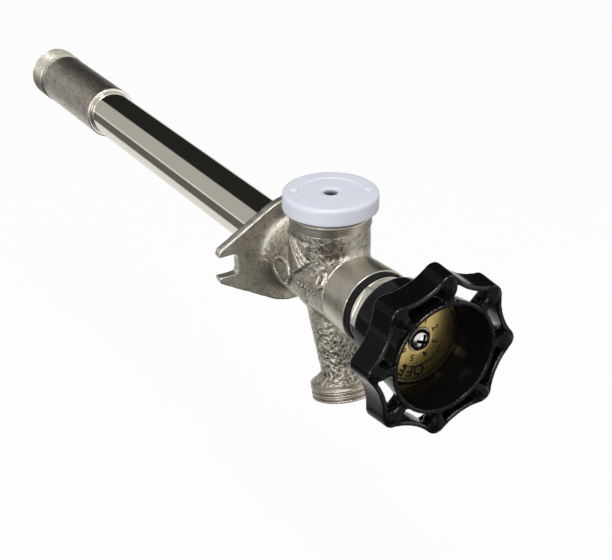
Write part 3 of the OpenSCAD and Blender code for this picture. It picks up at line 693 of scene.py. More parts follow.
def cut_thread(bm, start, stop, pitch, crest, depth):
    """Cuts a right hand thread into the outside of a lathe piece, from start to stop along z."""
    flat = 0.18
    run_in, run_out = pitch * 0.6, pitch * 0.35
    for vert in bm.verts:
        x, y, z = vert.co
        radius = math.hypot(x, y)
        if radius < crest - 0.02 * MM or not start - WELD <= z <= stop + WELD:
            continue
        phase = (z / pitch - math.atan2(y, x) / TURN) % 1.0
        groove = smooth_step(abs(2 * phase - 1), flat, 1 - flat)
        fade = min(1.0, (z - start) / run_in, (stop - z) / run_out)
        lower = crest - depth * groove * max(0.0, fade)
        vert.co.x *= lower / radius
        vert.co.y *= lower / radius


def through(bm, *steps):
    """The bmesh after modifiers: each step is a kind and its settings."""
    before = bpy.data.meshes.new("working")
    bm.to_mesh(before)
    holder = bpy.data.objects.new("working", before)
    bpy.context.scene.collection.objects.link(holder)
    for kind, settings in steps:
        modifier = holder.modifiers.new(kind, kind)
        for key, value in settings.items():
            setattr(modifier, key, value)
    seen = holder.evaluated_get(bpy.context.evaluated_depsgraph_get())
    after = bpy.data.meshes.new_from_object(seen)
    bm.clear()
    bm.from_mesh(after)
    bpy.data.objects.remove(holder)
    bpy.data.meshes.remove(before)
    bpy.data.meshes.remove(after)
    return bm


def remesh(cell):
    """A step that makes the surface anew from even cells."""
    return "REMESH", {"mode": "VOXEL", "voxel_size": cell, "adaptivity": 0.0}


def bevel(size, segments, angle):
    """A step that rounds the edges which are sharper than an angle in degrees."""
    limit = math.radians(angle)
    return "BEVEL", {"width": size, "segments": segments, "limit_method": "ANGLE", "angle_limit": limit}


def carve(bm, tool, operation="DIFFERENCE"):
    """Cuts bm with another bmesh, which is used up."""
    mesh = bpy.data.meshes.new("tool")
    tool.to_mesh(mesh)
    tool.free()
    holder = bpy.data.objects.new("tool", mesh)
    bpy.context.scene.collection.objects.link(holder)
    through(bm, ("BOOLEAN", {"object": holder, "operation": operation, "solver": "EXACT"}))
    bpy.data.objects.remove(holder)
    bpy.data.meshes.remove(mesh)
    return bm


def rod(start, stop, radius, place, segments=96):
    """A plain cylinder along z of a place, used as a cutting tool."""
    bm = bmesh.new()
    middle = place @ Matrix.Translation((0.0, 0.0, (start + stop) / 2))
    deep = abs(stop - start)
    bmesh.ops.create_cone(
        bm, cap_ends=True, segments=segments, radius1=radius, radius2=radius, depth=deep, matrix=middle
    )
    return bm


def relax(bm, verts, times):
    """Rounds the edges and corners among these points."""
    for _ in range(times):
        bmesh.ops.smooth_vert(
            bm, verts=verts, factor=HALF, use_axis_x=True, use_axis_y=True, use_axis_z=True
        )


def mark_crests(bm, gain, spread=2):
    """Stores how far each point stands out from its neighbours: above 0 on edges, below 0 in corners."""
    bm.normal_update()
    layer = bm.verts.layers.float.get("crest") or bm.verts.layers.float.new("crest")
    for vert in bm.verts:
        around = [edge.other_vert(vert).co - vert.co for edge in vert.link_edges]
        span = sum(step.length for step in around)
        lift = sum(step.dot(vert.normal) for step in around)
        vert[layer] = -gain * lift / span if span else 0.0
    for _ in range(spread):
        fresh = [
            (vert[layer] + sum(edge.other_vert(vert)[layer] for edge in vert.link_edges))
            / (1 + len(vert.link_edges))
            for vert in bm.verts
        ]
        for vert, value in zip(bm.verts, fresh):
            vert[layer] = value


def piece(name, bm, place, body, finish, replaced=(), crease=34):
    """Makes the object from a bmesh: placed in its mesh, smooth, riding on its body."""
    bm.transform(place)
    mesh = bpy.data.meshes.new(name)
    bm.to_mesh(mesh)
    bm.free()
    mesh.shade_smooth()
    mesh.set_sharp_from_angle(angle=math.radians(crease))
    mesh.materials.append(gather(finish) if isinstance(finish, str) else finish)
    made = bpy.data.objects.new(name, mesh)
    bpy.context.scene.collection.objects.link(made)
    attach(made, body)
    if replaced:
        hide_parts(*replaced)
    return made


def cad_copy(node):
    """A merged copy of a node's mesh."""
    bm = bmesh.new()
    bm.from_mesh(frame["nodes"][node].data)
    bmesh.ops.remove_doubles(bm, verts=bm.verts, dist=WELD)
    return bm


def smooth_step(value, low, high):
    """0 below low, 1 above high and smooth between them."""
    t = min(1.0, max(0.0, (value - low) / (high - low)))
    return t * t * (3 - 2 * t)


def ring_pad(u, v, half_u, half_v, rim):
    """Height from 0 to 1 of an oval pad with a raised rim; u and v are metres from its middle."""
    d = math.hypot(u / half_u, v / half_v)
    edge = 1 - smooth_step(d, 1.0, 1.0 + rim)
    dip = 1 - smooth_step(d, 1.0 - 3 * rim, 1.0 - rim)
    return edge * (1 - 0.75 * dip)


class SILLCOCK_OT_head_casting(bpy.types.Operator):
    """Head casting: rounded sand cast skin with fillets and bare raised pads"""

    bl_idname = "sillcock.head_casting"
    bl_label = "Head Casting"

    def execute(self, context):
        size = context.scene.sillcock_casting
        thread_top = size.spout_len - size.hose_len
        bm = cad_copy("head_body")
        # The turned faces are pieces of their own, so the casting is cut off where they start
        wide = 22 * MM
        past = 5 * MM
        carve(bm, rod(-size.boss_start, -size.boss_front - past, wide, ALONG_TUBE))
        carve(bm, rod(size.neck_top - size.collar_h, size.neck_top + past, wide, at_neck()))
        carve(bm, rod(thread_top + 0.1 * MM, size.spout_len + past, wide, along_spout()))
        through(bm, remesh(size.cell))
        relax(bm, bm.verts, 4)
        self.fill_corners(bm, size)
        self.add_skin(bm, size)
        mark_crests(bm, 6.0)
        piece("head_casting", bm, Matrix.Identity(4), "tap", "cast_nickel", ["head_body"], 60)
        return {"FINISHED"}

    def fill_corners(self, bm, size):
        """Rounds the corners where neck and spout leave the barrel."""
        to_spout = along_spout().inverted()
        zone = 2.6 * MM
        neck, spout = [], []
        for vert in bm.verts:
            x, y, z = vert.co
            off_barrel = abs(math.hypot(x, z) - size.barrel_r)
            if off_barrel > zone or y > -6 * MM:
                continue
            if z > 0 and abs(math.hypot(x, y + size.neck_y) - size.neck_r) < zone:
                neck.append(vert)
            local = to_spout @ vert.co
            off_spout = abs(math.hypot(local.x, local.y) - size.spout_r)
            if z < 0 and local.z > 0 and off_spout < zone + MM:
                spout.append(vert)
        for corner in (neck, spout):
            relax(bm, corner, 26)

    def add_skin(self, bm, size):
        """Slow unevenness, and raised pads on the side of the barrel and under the neck."""
        bm.normal_update()
        moves = []
        for vert in bm.verts:
            x, y, z = vert.co
            coarse = 1.0 + smooth_step(-z, 13 * MM, 24 * MM)
            on_flange = smooth_step(y, -8 * MM, -5 * MM)
            lift = size.lumps * noise.noise(vert.co * 260)
            lift += size.sand * coarse * noise.noise(vert.co * 640) * (1 - 0.8 * on_flange)
            outside = math.hypot(x, z) > 0.9 * size.barrel_r and vert.normal.x < 0.2
            if outside and x < 0:
                lift += size.pad_rise * self.pads(x, y, z, size)
            moves.append(min(lift, size.pad_rise))
        for vert, lift in zip(bm.verts, moves):
            vert.co += vert.normal * lift

    def pads(self, x, y, z, size):
        """Bare pads where such castings carry marks, all on the left side."""
        arc = math.atan2(z, -x) * size.barrel_r
        high = self.corner_plate(y, z)
        if math.hypot(x, z) > size.barrel_r + 1.2 * MM:
            return high
        for along, up, half_along, half_up, rim in RING_PADS:
            high = max(high, ring_pad(y - along, arc - up, half_along, half_up, rim))
        return max(high, self.dots(y, arc))

    def dots(self, y, arc):
        """A row of six low dots along the barrel."""
        pitch = 2.1 * MM
        along = (y + 44 * MM) / pitch
        if not 0 < along < 6:
            return 0.0
        off = math.hypot((along % 1 - HALF) * pitch, arc - 0.6 * MM)
        return 0.6 * (1 - smooth_step(off, 0.35 * MM, 0.9 * MM))

    def corner_plate(self, y, z):
        """A bare plate in the corner of barrel and neck, pointed below, with three slanted grooves."""
        y += 30 * MM
        z -= 3.6 * MM
        inside = min(0.74 * (z + 0.90 * y), 0.84 * (z - 0.64 * y), y + 8.4 * MM, 16.3 * MM - z)
        across = 0.745 * y - 0.667 * (z - 14.9 * MM)
        gap = 2.2 * MM
        nearest = min(abs(across - middle) for middle in (-gap, 0.0, gap))
        groove = 1 - smooth_step(nearest, 0.3 * MM, 0.7 * MM)
        return smooth_step(inside, 0.0, 0.45 * MM) * (1 - 0.9 * groove)


class SILLCOCK_OT_turned_faces(bpy.types.Operator):
    """Turned faces of the head: neck collar, front boss and hose thread"""

    bl_idname = "sillcock.turned_faces"
    bl_label = "Turned Faces"

    def execute(self, context):
        size = context.scene.sillcock_casting
        self.neck_collar(size)
        self.front_boss(size)
        self.hose_end(size)
        return {"FINISHED"}

    def neck_collar(self, size):
        low = size.neck_top - size.collar_h - 0.4 * MM
        rim = size.neck_top - 1.1 * MM
        lip_r = size.collar_r - 1.8 * MM
        outline = soften(
            [
                (low, size.neck_bore, 0),
                (low, size.collar_r, 0.3 * MM),
                (rim, size.collar_r, 0.6 * MM),
                (rim, lip_r, 0.2 * MM),
                (size.neck_top, lip_r, 0.2 * MM),
                (size.neck_top, size.neck_bore, 0.3 * MM),
            ],
            6,
        )
        bm = lathe(divided(outline, 0.4 * MM), 192)
        worn = 0.05 * MM
        for vert in bm.verts:
            if vert.co.z < rim - 1.1 * MM:
                away = Vector((vert.co.x, vert.co.y, 0.0)).normalized()
                vert.co += away * worn * (noise.noise(vert.co * 420) - 0.5)
        mark_crests(bm, 3.0, 1)
        piece("neck_collar", bm, at_neck(), "tap", "satin_nickel")

    def front_boss(self, size):
        outline = soften(
            [
                (-size.boss_front, size.boss_bore, 0.3 * MM),
                (-size.boss_front, size.boss_r, 0.5 * MM),
                (-size.boss_start - 0.3 * MM, size.barrel_r + 0.12 * MM, 0.2 * MM),
                (-size.boss_start + 0.6 * MM, size.barrel_r - 0.9 * MM, 0),
                (-size.boss_start + 0.6 * MM, size.boss_bore, 0),
            ]
        )
        bm = lathe(divided(outline, 0.55 * MM), 192)
        for vert in bm.verts:
            vert.co += vert.normal * 0.03 * MM * noise.noise(vert.co * 300)
        mark_crests(bm, 3.0, 1)
        piece("front_boss", bm, ALONG_TUBE, "tap", "satin_nickel")

    def hose_end(self, size):
        """The hose thread has 11.5 turns to the inch."""
        top = size.spout_len - size.hose_len
        outline = soften(
            [
                (top - 0.5 * MM, size.spout_bore, 0),
                (top - 0.5 * MM, size.hose_r - size.hose_depth, 0),
                (top + 0.2 * MM, size.hose_r, 0.2 * MM),
                (size.spout_len, size.hose_r, 0.5 * MM),
                (size.spout_len, size.lip_bore, 0.4 * MM),
                (size.spout_len - size.lip_depth, size.lip_bore, 0.3 * MM),
                (size.spout_len - size.lip_depth, size.spout_bore, 0.3 * MM),
            ]
        )
        bm = lathe(divided(outline, 0.13 * MM), 192)
        first, last = top + 0.2 * MM, size.spout_len - 0.3 * MM
        cut_thread(bm, first, last, INCH / 11.5, size.hose_r, size.hose_depth)
        mark_crests(bm, 4.0, 3)
        piece("hose_end", bm, along_spout(), "tap", "satin_nickel", crease=60)


class SILLCOCK_OT_tube_and_inlet(bpy.types.Operator):
    """Supply tube and the inlet body with its pipe thread"""

    bl_idname = "sillcock.tube_and_inlet"
    bl_label = "Tube and Inlet"

    def execute(self, context):
        size = context.scene.sillcock_inlet
        self.tube(size)
        self.sleeve(size)
        self.pipe_end(size)
        return {"FINISHED"}

    def tube(self, size):
        radius = width("supply_tube") / 2
        start, stop = reach("supply_tube", 1, 0), reach("supply_tube", 1, 1)
        outline = ring(start, stop, radius - size.tube_wall, radius)
        bm = lathe(divided(outline, 12 * MM), 256)
        piece("tube_skin", bm, ALONG_TUBE, "tap", "tube_nickel", ["supply_tube"])

    def sleeve(self, size):
        start = reach("inlet_body", 1, 0)
        stop = reach("inlet_body", 1, 1) - size.pipe_len - size.groove_len
        seat = start + size.tube_seat
        outside = size.sleeve_r
        tube = width("supply_tube") / 2 + 0.05 * MM
        outline = soften(
            [
                (start, tube, 0.3 * MM),
                (start, outside, 1.0 * MM),
                (stop, outside, 0.5 * MM),
                (stop, outside - 1.5 * MM, 0),
                (stop - 4 * MM, 8.2 * MM, 0),
                (seat, size.throat_r, 0),
                (seat, tube, 0),
            ]
        )
        bm = lathe(divided(outline, 0.8 * MM), 160)
        bm.normal_update()
        skin = 0.05 * MM
        inset = 0.03 * MM
        for vert in bm.verts:
            x, y, z = vert.co
            on_skin = math.hypot(x, y) > outside - 0.1 * MM
            if on_skin and start + 1.2 * MM < z < stop - 0.8 * MM:
                vert.co += vert.normal * (skin * noise.noise(vert.co * 330) - inset)
        mark_crests(bm, 3.0, 1)
        piece("inlet_sleeve", bm, ALONG_TUBE, "tap", "sleeve_nickel", ["inlet_body"])

    def pipe_end(self, size):
        """The pipe thread has 14 turns to the inch."""
        stop = reach("inlet_body", 1, 1)
        start = stop - size.pipe_len
        back = start - 2.6 * MM
        socket = stop - size.socket_len
        first, last = start + 0.8 * MM, stop - 0.6 * MM
        outline = soften(
            [
                (back, size.passage_r, 0),
                (back, size.groove_r, 0),
                (start, size.groove_r, 0.2 * MM),
                (first, size.pipe_r, 0.2 * MM),
                (last, size.pipe_r, 0.3 * MM),
                (stop, size.pipe_r - MM, 0.3 * MM),
                (stop, size.socket_r, 0.4 * MM),
                (socket, size.socket_r, 0.1 * MM),
                (socket, size.passage_r, 0.2 * MM),
            ]
        )
        bm = lathe(divided(outline, 0.14 * MM), 160)
        cut_thread(bm, first, last, INCH / 14, size.pipe_r, size.pipe_depth)
        mark_crests(bm, 4.0, 3)
        piece("pipe_end", bm, ALONG_TUBE, "tap", "satin_nickel", crease=60)


def hexagon(start, stop, flats, turned_end):
    """A hexagon along the tube axis with its corners turned off at the end toward the user."""
    twelfth = math.pi / 6
    corner = flats / math.cos(twelfth) / 2
    wide = corner + MM
    bm = rod(start, stop, corner, ALONG_TUBE @ Matrix.Rotation(twelfth, 4, "Z"), 6)
    core = [
        Vector((stop + MM, ON_AXIS)),
        Vector((stop + MM, wide)),
        Vector((start + (wide - turned_end) * math.tan(twelfth), wide)),
        Vector((start, turned_end)),
        Vector((start, ON_AXIS)),
    ]
    turned = lathe(core, 160)
    turned.transform(ALONG_TUBE)
    carve(bm, turned, "INTERSECT")
    bmesh.ops.dissolve_limit(bm, angle_limit=math.radians(0.5), verts=bm.verts, edges=bm.edges)
    return bm


class SILLCOCK_OT_bonnet(bpy.types.Operator):
    """Bonnet with its round collar and hexagon, and the packing nut"""

    bl_idname = "sillcock.bonnet"
    bl_label = "Bonnet"

    def execute(self, context):
        size = context.scene.sillcock_bonnet
        front, back = reach("bonnet", 1, 0), reach("bonnet", 1, 1)
        collar = reach("bonnet_gasket", 1, 0) - size.gasket_rise
        hex_back = -size.hex_start
        nose = hex_back - size.hex_len
        core = 11.6 * MM
        outline = soften(
            [
                (front, size.nose_r, 0.4 * MM),
                (nose - 0.1 * MM, size.nose_r, 0),
                (nose + 0.4 * MM, core, 0),
                (hex_back, core, 0),
                (hex_back, size.collar_r, 0.5 * MM),
                (collar, size.collar_r, 0.5 * MM),
                (collar, size.thread_r, 0),
                (back, size.thread_r, 0.5 * MM),
                (back, 6.1 * MM, 0),
                (front, 4.9 * MM, 0.3 * MM),
            ]
        )
        bm = lathe(divided(outline, 1.0 * MM), 160)
        piece("bonnet_core", bm, ALONG_TUBE, "tap", "turned_nickel", ["bonnet"])
        seat = reach("bonnet_gasket", 1, 1)
        outline = soften(
            [
                (collar, size.gasket_bore, 0),
                (collar, size.gasket_r, 0.7 * MM),
                (seat, size.gasket_r, 0.3 * MM),
                (seat, size.gasket_bore, 0),
            ]
        )
        bm = lathe(outline, 160)
        piece("gasket_ring", bm, ALONG_TUBE, "tap", "black_rubber", ["bonnet_gasket"])
        bm = self.nut(nose, hex_back + 0.2 * MM, size.hex_flats, size.hex_end_r, size.hex_bore)
        piece("bonnet_hexagon", bm, Matrix.Identity(4), "tap", "turned_nickel", (), 24)
        nut_front = reach("packing_nut", 1, 0)
        bm = self.nut(nut_front, nose - 0.3 * MM, size.nut_flats, size.nut_end_r, size.nut_bore)
        piece("gland_nut", bm, Matrix.Identity(4), "tap", "brass", ["packing_nut"], 24)
        return {"FINISHED"}

    def nut(self, front, back, flats, turned_end, bore):
        """A bored hexagon with rounded edges."""
        bm = hexagon(front, back, flats, turned_end)
        carve(bm, rod(front - MM, back + MM, bore, ALONG_TUBE))
        return through(bm, bevel(0.22 * MM, 3, 18))


class SILLCOCK_OT_vent_cap(bpy.types.Operator):
    """White vent cap with its shallow step, vent hole and two dimples"""

    bl_idname = "sillcock.vent_cap"
    bl_label = "Vent Cap"

    def execute(self, context):
        size = context.scene.sillcock_cap
        low, top = reach("vent_cap", 2, 0), reach("vent_cap", 2, 1)
        rim = width("vent_cap") / 2
        step = top - size.step
        vent = top - size.vent_depth
        plate = top - size.plate
        lip = low + 1.2 * MM
        outline = soften(
            [
                (low, size.seat_r, 0.2 * MM),
                (low, size.skirt_r, 0.3 * MM),
                (size.bottom, size.skirt_r, 0.4 * MM),
                (size.bottom, rim, 0.45 * MM),
                (top, rim, 1.7 * MM),
                (top, size.step_r, 0.5 * MM),
                (step, size.step_r - 0.5 * MM, 0.5 * MM),
                (step, 4.4 * MM, 0.8 * MM),
                (top - 0.8 * MM, size.vent_r, 0.3 * MM),
                (vent, size.vent_r - 0.2 * MM, 0.15 * MM),
                (vent, size.vent_bore, 0.15 * MM),
                (plate, size.vent_bore, 0.1 * MM),
                (plate, size.hollow_r, 0.3 * MM),
                (lip, size.hollow_r, 0.3 * MM),
                (lip, size.seat_r, 0.2 * MM),
            ],
            6,
        )
        bm = lathe(divided(outline, 0.8 * MM), 192)
        for side in (-1, 1):
            spot = Vector((side * size.dimple_at, 0.0, 0.0))
            spot.rotate(Matrix.Rotation(size.dimple_turn, 3, "Z"))
            for vert in bm.verts:
                off = math.hypot(vert.co.x - spot.x, vert.co.y - spot.y)
                if vert.co.z > top - 1.2 * MM and off < size.dimple_r:
                    vert.co.z -= size.dimple_depth * (1 - smooth_step(off, 0.55 * MM, size.dimple_r))
        mark_crests(bm, 2.2)
        piece("vent_cap_moulding", bm, at_neck(), "tap", "white_plastic", ["vent_cap"], 50)
        return {"FINISHED"}


class SILLCOCK_OT_wheel(bpy.types.Operator):
    """Black wheel: scalloped band, deep cup and eight bulbous ribs, flowing into each other"""

    bl_idname = "sillcock.wheel"
    bl_label = "Wheel"

    def execute(self, context):
        size = context.scene.sillcock_wheel
        bm = cad_copy("handle")
        front = reach("handle", 1, 0)
        beyond = 40 * MM
        band = lathe(ring(front - MM, -size.band_front, size.rim_r, beyond))
        band.transform(ALONG_TUBE)
        carve(bm, band)
        for index in range(size.lobes):
            turn = Matrix.Rotation(index * TURN / size.lobes + size.phase, 4, "Y")
            self.add_bulb(bm, size, turn @ Matrix.Translation((0.0, front, 0.0)))
        through(bm, remesh(size.cell))
        relax(bm, bm.verts, size.rounding)
        mark_crests(bm, 5.0)
        piece("wheel", bm, Matrix.Identity(4), "stem", "black_gloss", ["handle"], 70)
        return {"FINISHED"}

    def add_bulb(self, bm, size, turn):
        """A teardrop from the rim of the cup to the lobe: a thin root that swells to a bulb."""
        scale = Matrix.Diagonal((size.bulb_width, size.bulb_depth, size.bulb_reach, 1.0))
        place = turn @ Matrix.Translation((0.0, size.bulb_depth, size.bulb_at)) @ scale
        bmesh.ops.create_uvsphere(bm, u_segments=32, v_segments=20, radius=1.0, matrix=place)
        thin, thick = 1.5 * MM, 2.7 * MM
        root_len = size.bulb_at - size.rim_r + 1.6 * MM
        root = turn @ Matrix.Translation((0.0, 3.0 * MM, size.bulb_at - root_len / 2))
        bmesh.ops.create_cone(
            bm, cap_ends=True, segments=24, radius1=thin, radius2=thick, depth=root_len, matrix=root
        )


class SILLCOCK_OT_label(bpy.types.Operator):
    """Gold label disc with plain numbers, arrows, ON and OFF"""

    bl_idname = "sillcock.label"
    bl_label = "Label Disc"

    def execute(self, context):
        size = context.scene.sillcock_wheel
        front, back = reach("label_disc", 1, 0), reach("label_disc", 1, 1)
        outline = soften(
            [
                (front, size.label_hole, 0.1 * MM),
                (front, size.label_r, 0.2 * MM),
                (back, size.label_r, 0),
                (back, size.label_hole, 0),
            ]
        )
        bm = lathe(divided(outline, 1.5 * MM), 160)
        piece("label_plate", bm, ALONG_TUBE, "stem", "label_gold", ["label_disc"])
        self.print_face(size, front)
        return {"FINISHED"}

    def print_face(self, size, front):
        """The print, a hair in front of the disc."""
        bm = bmesh.new()
        thin = 0.2 * MM
        rim, track = size.label_rim, size.label_track
        self.arc(bm, rim, thin, 0, 360)
        for start, stop in ((60, 150), (-120, -30)):
            self.arc(bm, track, 1.3 * thin, start, stop)
        for angle, way in ((150, 1), (-120, -1)):
            self.arrow(bm, track, angle, way)
        ticks = 48
        for index in range(ticks):
            long = 1.5 * MM if index % 6 == 0 else 0.8 * MM
            self.tick(bm, rim - long, rim, thin, index * 360 / ticks)
        for word in WORDS:
            self.word(bm, *word)
        bm.transform(Matrix.Translation((0.0, front - 0.02 * MM, 0.0)) @ TOWARD_USER)
        bmesh.ops.recalc_face_normals(bm, faces=bm.faces)
        piece("label_print", bm, Matrix.Identity(4), "stem", "ink")

    def arc(self, bm, radius, half, start, stop):
        """A thin line round the middle, from one angle to another."""
        steps = max(2, int(abs(stop - start) / 3))
        first = bm.verts.new((radius - half, 0.0, 0.0))
        second = bm.verts.new((radius + half, 0.0, 0.0))
        edge = bm.edges.new((first, second))
        turn = Matrix.Rotation(math.radians(start), 3, "Z")
        bmesh.ops.rotate(bm, verts=[first, second], cent=(0, 0, 0), matrix=turn)
        bmesh.ops.spin(
            bm,
            geom=[first, second, edge],
            cent=(0, 0, 0),
            axis=(0, 0, 1),
            angle=math.radians(stop - start),
            steps=steps,
            use_merge=abs(stop - start) >= 360,
        )

    def tick(self, bm, inner, outer, half, angle):
        """A short line that points at the middle."""
        turn = Matrix.Rotation(math.radians(angle), 4, "Z")
        corners = [(inner, -half), (outer, -half), (outer, half), (inner, half)]
        bm.faces.new([bm.verts.new(turn @ Vector((x, y, 0.0))) for x, y in corners])

    def arrow(self, bm, radius, angle, way):
        """An arrow head that points one way round, 1 against the clock and -1 with it."""
        turn = Matrix.Rotation(math.radians(angle), 4, "Z")
        half = 1.1 * MM
        corners = [(radius - half, 0.0), (radius + half, 0.0), (radius, way * 2.0 * MM)]
        bm.faces.new([bm.verts.new(turn @ Vector((x, y, 0.0))) for x, y in corners])

    def word(self, bm, text, radius, height, middle, gap):
        """Letters round the disc with their tops outward."""
        for index, letter in enumerate(text):
            curve = bpy.data.curves.new("letter", "FONT")
            curve.body = letter
            curve.size = height * 1.35
            curve.offset = 0.03 * height
            curve.align_x = "CENTER"
            curve.align_y = "CENTER"
            curve.resolution_u = 6
            holder = bpy.data.objects.new("letter", curve)
            bpy.context.scene.collection.objects.link(holder)
            bpy.context.view_layer.update()
            mesh = bpy.data.meshes.new_from_object(holder)
            angle = middle + (index - (len(text) - 1) / 2) * gap
            place = Matrix.Rotation(math.radians(-angle), 4, "Z") @ Matrix.Translation((0.0, radius, 0.0))
            mesh.transform(place)
            bm.from_mesh(mesh)
            bpy.data.objects.remove(holder)
            bpy.data.curves.remove(curve)
            bpy.data.meshes.remove(mesh)


class SILLCOCK_OT_screw(bpy.types.Operator):
    """Domed screw with a cross recess"""

    bl_idname = "sillcock.screw"
    bl_label = "Handle Screw"

    def execute(self, context):
        size = context.scene.sillcock_wheel
        front, back = reach("handle_screw", 1, 0), reach("handle_screw", 1, 1)
        seat = front + size.screw_h
        rise = 0.86 * size.screw_h
        soft = 0.25 * MM
        outline = [Vector((front, ON_AXIS))]
        for step in range(1, 10):
            lean = step * math.pi / 20
            outline.append(Vector((front + rise * (1 - math.cos(lean)), size.screw_r * math.sin(lean))))
        outline += [Vector((seat - soft, size.screw_r)), Vector((seat, size.screw_r - soft))]
        outline += [Vector((seat, size.shank_r)), Vector((back, size.shank_r)), Vector((back, ON_AXIS))]
        bm = lathe(outline, 96)
        bm.transform(ALONG_TUBE)
        bar = Matrix.Diagonal((2 * size.cross_arm, 2 * size.cross_depth, size.cross_slot, 1.0))
        for turn in (size.cross_turn, size.cross_turn + math.pi / 2):
            cross = bmesh.new()
            place = Matrix.Rotation(turn, 4, "Y") @ Matrix.Translation((0, front, 0)) @ bar
            bmesh.ops.create_cube(cross, size=1.0, matrix=place)
            carve(bm, cross)
        through(bm, bevel(0.12 * MM, 2, 40))
        piece("wheel_screw", bm, Matrix.Identity(4), "stem", "screw_steel", ["handle_screw"], 30)
        return {"FINISHED"}


class SILLCOCK_OT_inner_parts(bpy.types.Operator):
    """Finishes for the inner pieces and seals, which keep their own shape"""

    bl_idname = "sillcock.inner_parts"
    bl_label = "Inner Parts"

    def execute(self, context):
        slots = {part["node"]: part["material_slot"] for part in frame["record"]["subparts"]}
        for name, node in frame["nodes"].items():
            if node.hide_render:
                continue
            node.data.materials.clear()
            node.data.materials.append(gather(slots[name]))
        return {"FINISHED"}


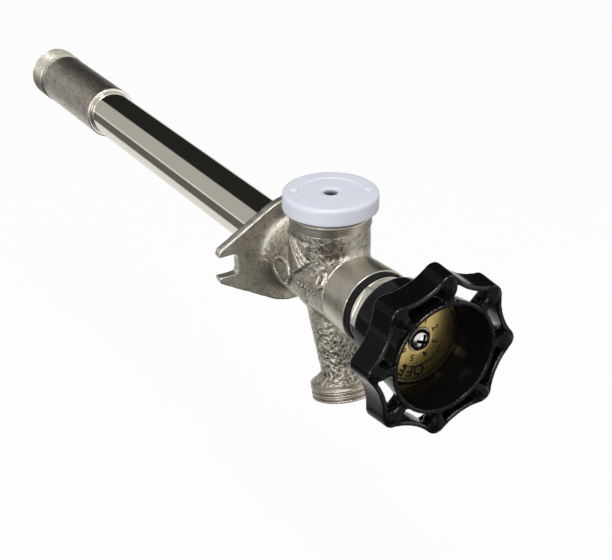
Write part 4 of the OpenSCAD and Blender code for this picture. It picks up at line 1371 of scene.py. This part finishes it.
class SILLCOCK_OT_stage(bpy.types.Operator):
    """Camera, soft studio light, white surroundings and pale floor"""

    bl_idname = "sillcock.stage"
    bl_label = "Stage"

    def execute(self, context):
        self.camera(context)
        self.surroundings(context)
        for lamp in LAMPS:
            self.lamp(context, *lamp)
        self.floor(context)
        context.scene.view_settings.view_transform = "Standard"
        return {"FINISHED"}

    def camera(self, context):
        yaw, pitch, roll = (math.radians(angle) for angle in CAMERA_ANGLES)
        back = Vector((math.sin(yaw) * math.cos(pitch), -math.cos(yaw) * math.cos(pitch), math.sin(pitch)))
        right = Vector((math.cos(yaw), math.sin(yaw), 0.0))
        up = back.cross(right)
        across = right * math.cos(roll) + up * math.sin(roll)
        upward = up * math.cos(roll) - right * math.sin(roll)
        data = bpy.data.cameras.new("camera")
        data.sensor_width = 36.0
        data.lens = CAMERA_LENS
        data.clip_start = 0.01
        data.clip_end = 20.0
        made = bpy.data.objects.new("camera", data)
        turn = Matrix((across, upward, back)).transposed().to_4x4()
        made.matrix_world = Matrix.Translation(CAMERA_AT) @ turn
        context.scene.collection.objects.link(made)
        context.scene.camera = made

    def surroundings(self, context):
        """White to the camera, an even dim room to dull surfaces, and a studio with cards to metal."""
        world = bpy.data.worlds.new("studio")
        context.scene.world = world
        sky = Recipe(world)
        x, y, z = sky.parts(sky.node("TexCoord", {}, {}, "Generated"))
        behind = y.between(0.40, 0.52)
        patch = self.card(x, y, z, (0.43, -0.80, -0.42), 0.90, 0.07)
        dark = self.card(x, y, z, (-0.43, -0.76, -0.47), 0.92, 0.05)
        overhead = z.between(-0.62, 0.10)
        front = (0.13 + overhead * 0.75 + patch * 0.62) * (1.0 - dark * 0.85)
        tone = self.wall(sky, x, z) * behind + front * (1.0 - behind)
        seen = sky.node("LightPath", {}, {}, "Is Camera Ray")
        shiny = sky.node("LightPath", {}, {}, "Is Glossy Ray")
        level = ROOM_LIGHT * (1.0 - shiny) + tone * shiny
        strength = level * (1.0 - seen) + seen
        colour = sky.blend(shiny, (1.0, 1.0, 1.0), (1.0, 0.975, 0.925))
        colour = sky.blend(seen, colour, (1.0, 1.0, 1.0))
        sky.end(sky.node("Background", {}, {"Color": colour, "Strength": strength}))

    def wall(self, sky, x, z):
        """Cards behind the tap, as bands round the y axis, from straight left through below and right."""
        around = z.maths("ARCTAN2", z, x) / TURN + HALF
        brightest = max(level for start, stop, level in CARDS)
        stops = []
        for start, stop, level in CARDS:
            stops += [(place, (level / brightest,) * 3) for place in (start + CARD_BLUR, stop - CARD_BLUR)]
        return sky.node("ValToRGB", {"stops": stops}, {"Fac": around}) * brightest

    def card(self, x, y, z, middle, edge, soft):
        """1 on a round card that is hung in a direction, 0 off it."""
        facing = x * middle[0] + y * middle[1] + z * middle[2]
        return facing.between(edge - soft, edge + soft)

    def lamp(self, context, name, spot, size, power):
        data = bpy.data.lights.new(name, "AREA")
        data.size = size
        data.energy = power
        made = bpy.data.objects.new(name, data)
        aim = Vector((0.0, -0.03, 0.0)) - Vector(spot)
        made.matrix_world = Matrix.Translation(spot) @ aim.to_track_quat("-Z", "Y").to_matrix().to_4x4()
        context.scene.collection.objects.link(made)

    def floor(self, context):
        bm = bmesh.new()
        bmesh.ops.create_grid(bm, x_segments=2, y_segments=2, size=6.0)
        bm.transform(Matrix.Translation((0.0, 0.0, FLOOR_Z)))
        mesh = bpy.data.meshes.new("floor")
        bm.to_mesh(mesh)
        bm.free()
        made = bpy.data.objects.new("floor", mesh)
        made.visible_glossy = False
        context.scene.collection.objects.link(made)
        look = material("floor_paper")
        tone = look.blend(look.grain(30) * 0.2, (0.86, 0.86, 0.86), (0.84, 0.84, 0.85))
        paper = look.node("BsdfDiffuse", {}, {"Color": tone})
        glow = look.node("Emission", {}, {"Color": (1.0, 1.0, 1.0, 1.0), "Strength": 1.0})
        seen = look.node("LightPath", {}, {}, "Is Camera Ray")
        look.end(look.node("MixShader", {}, {0: seen * 0.95, 1: paper, 2: glow}))
        mesh.materials.append(look.owner)


class SILLCOCK_PT_panel(bpy.types.Panel):
    """Lists the pieces that can be dressed"""

    bl_idname = "SILLCOCK_PT_panel"
    bl_label = "Sillcock"
    bl_space_type = "VIEW_3D"
    bl_region_type = "UI"
    bl_category = "Sillcock"

    def draw(self, context):
        for step in STEPS:
            self.layout.operator(step.bl_idname)


STEPS = (
    SILLCOCK_OT_head_casting,
    SILLCOCK_OT_turned_faces,
    SILLCOCK_OT_tube_and_inlet,
    SILLCOCK_OT_bonnet,
    SILLCOCK_OT_vent_cap,
    SILLCOCK_OT_wheel,
    SILLCOCK_OT_label,
    SILLCOCK_OT_screw,
    SILLCOCK_OT_inner_parts,
    SILLCOCK_OT_stage,
)
GROUPS = {
    "sillcock_casting": SillcockCasting,
    "sillcock_inlet": SillcockInlet,
    "sillcock_bonnet": SillcockBonnet,
    "sillcock_cap": SillcockCap,
    "sillcock_wheel": SillcockWheel,
    "sillcock_finish": SillcockFinish,
}


def register():
    for name, group in GROUPS.items():
        bpy.utils.register_class(group)
        setattr(bpy.types.Scene, name, bpy.props.PointerProperty(type=group))
    for step in STEPS:
        bpy.utils.register_class(step)
    bpy.utils.register_class(SILLCOCK_PT_panel)


def unregister():
    bpy.utils.unregister_class(SILLCOCK_PT_panel)
    for step in reversed(STEPS):
        bpy.utils.unregister_class(step)
    for name, group in GROUPS.items():
        delattr(bpy.types.Scene, name)
        bpy.utils.unregister_class(group)


def main():
    """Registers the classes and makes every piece."""
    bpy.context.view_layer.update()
    register()
    bpy.ops.sillcock.head_casting()
    bpy.ops.sillcock.turned_faces()
    bpy.ops.sillcock.tube_and_inlet()
    bpy.ops.sillcock.bonnet()
    bpy.ops.sillcock.vent_cap()
    bpy.ops.sillcock.wheel()
    bpy.ops.sillcock.label()
    bpy.ops.sillcock.screw()
    bpy.ops.sillcock.inner_parts()
    bpy.ops.sillcock.stage()


if __name__ == "__main__":
    main()
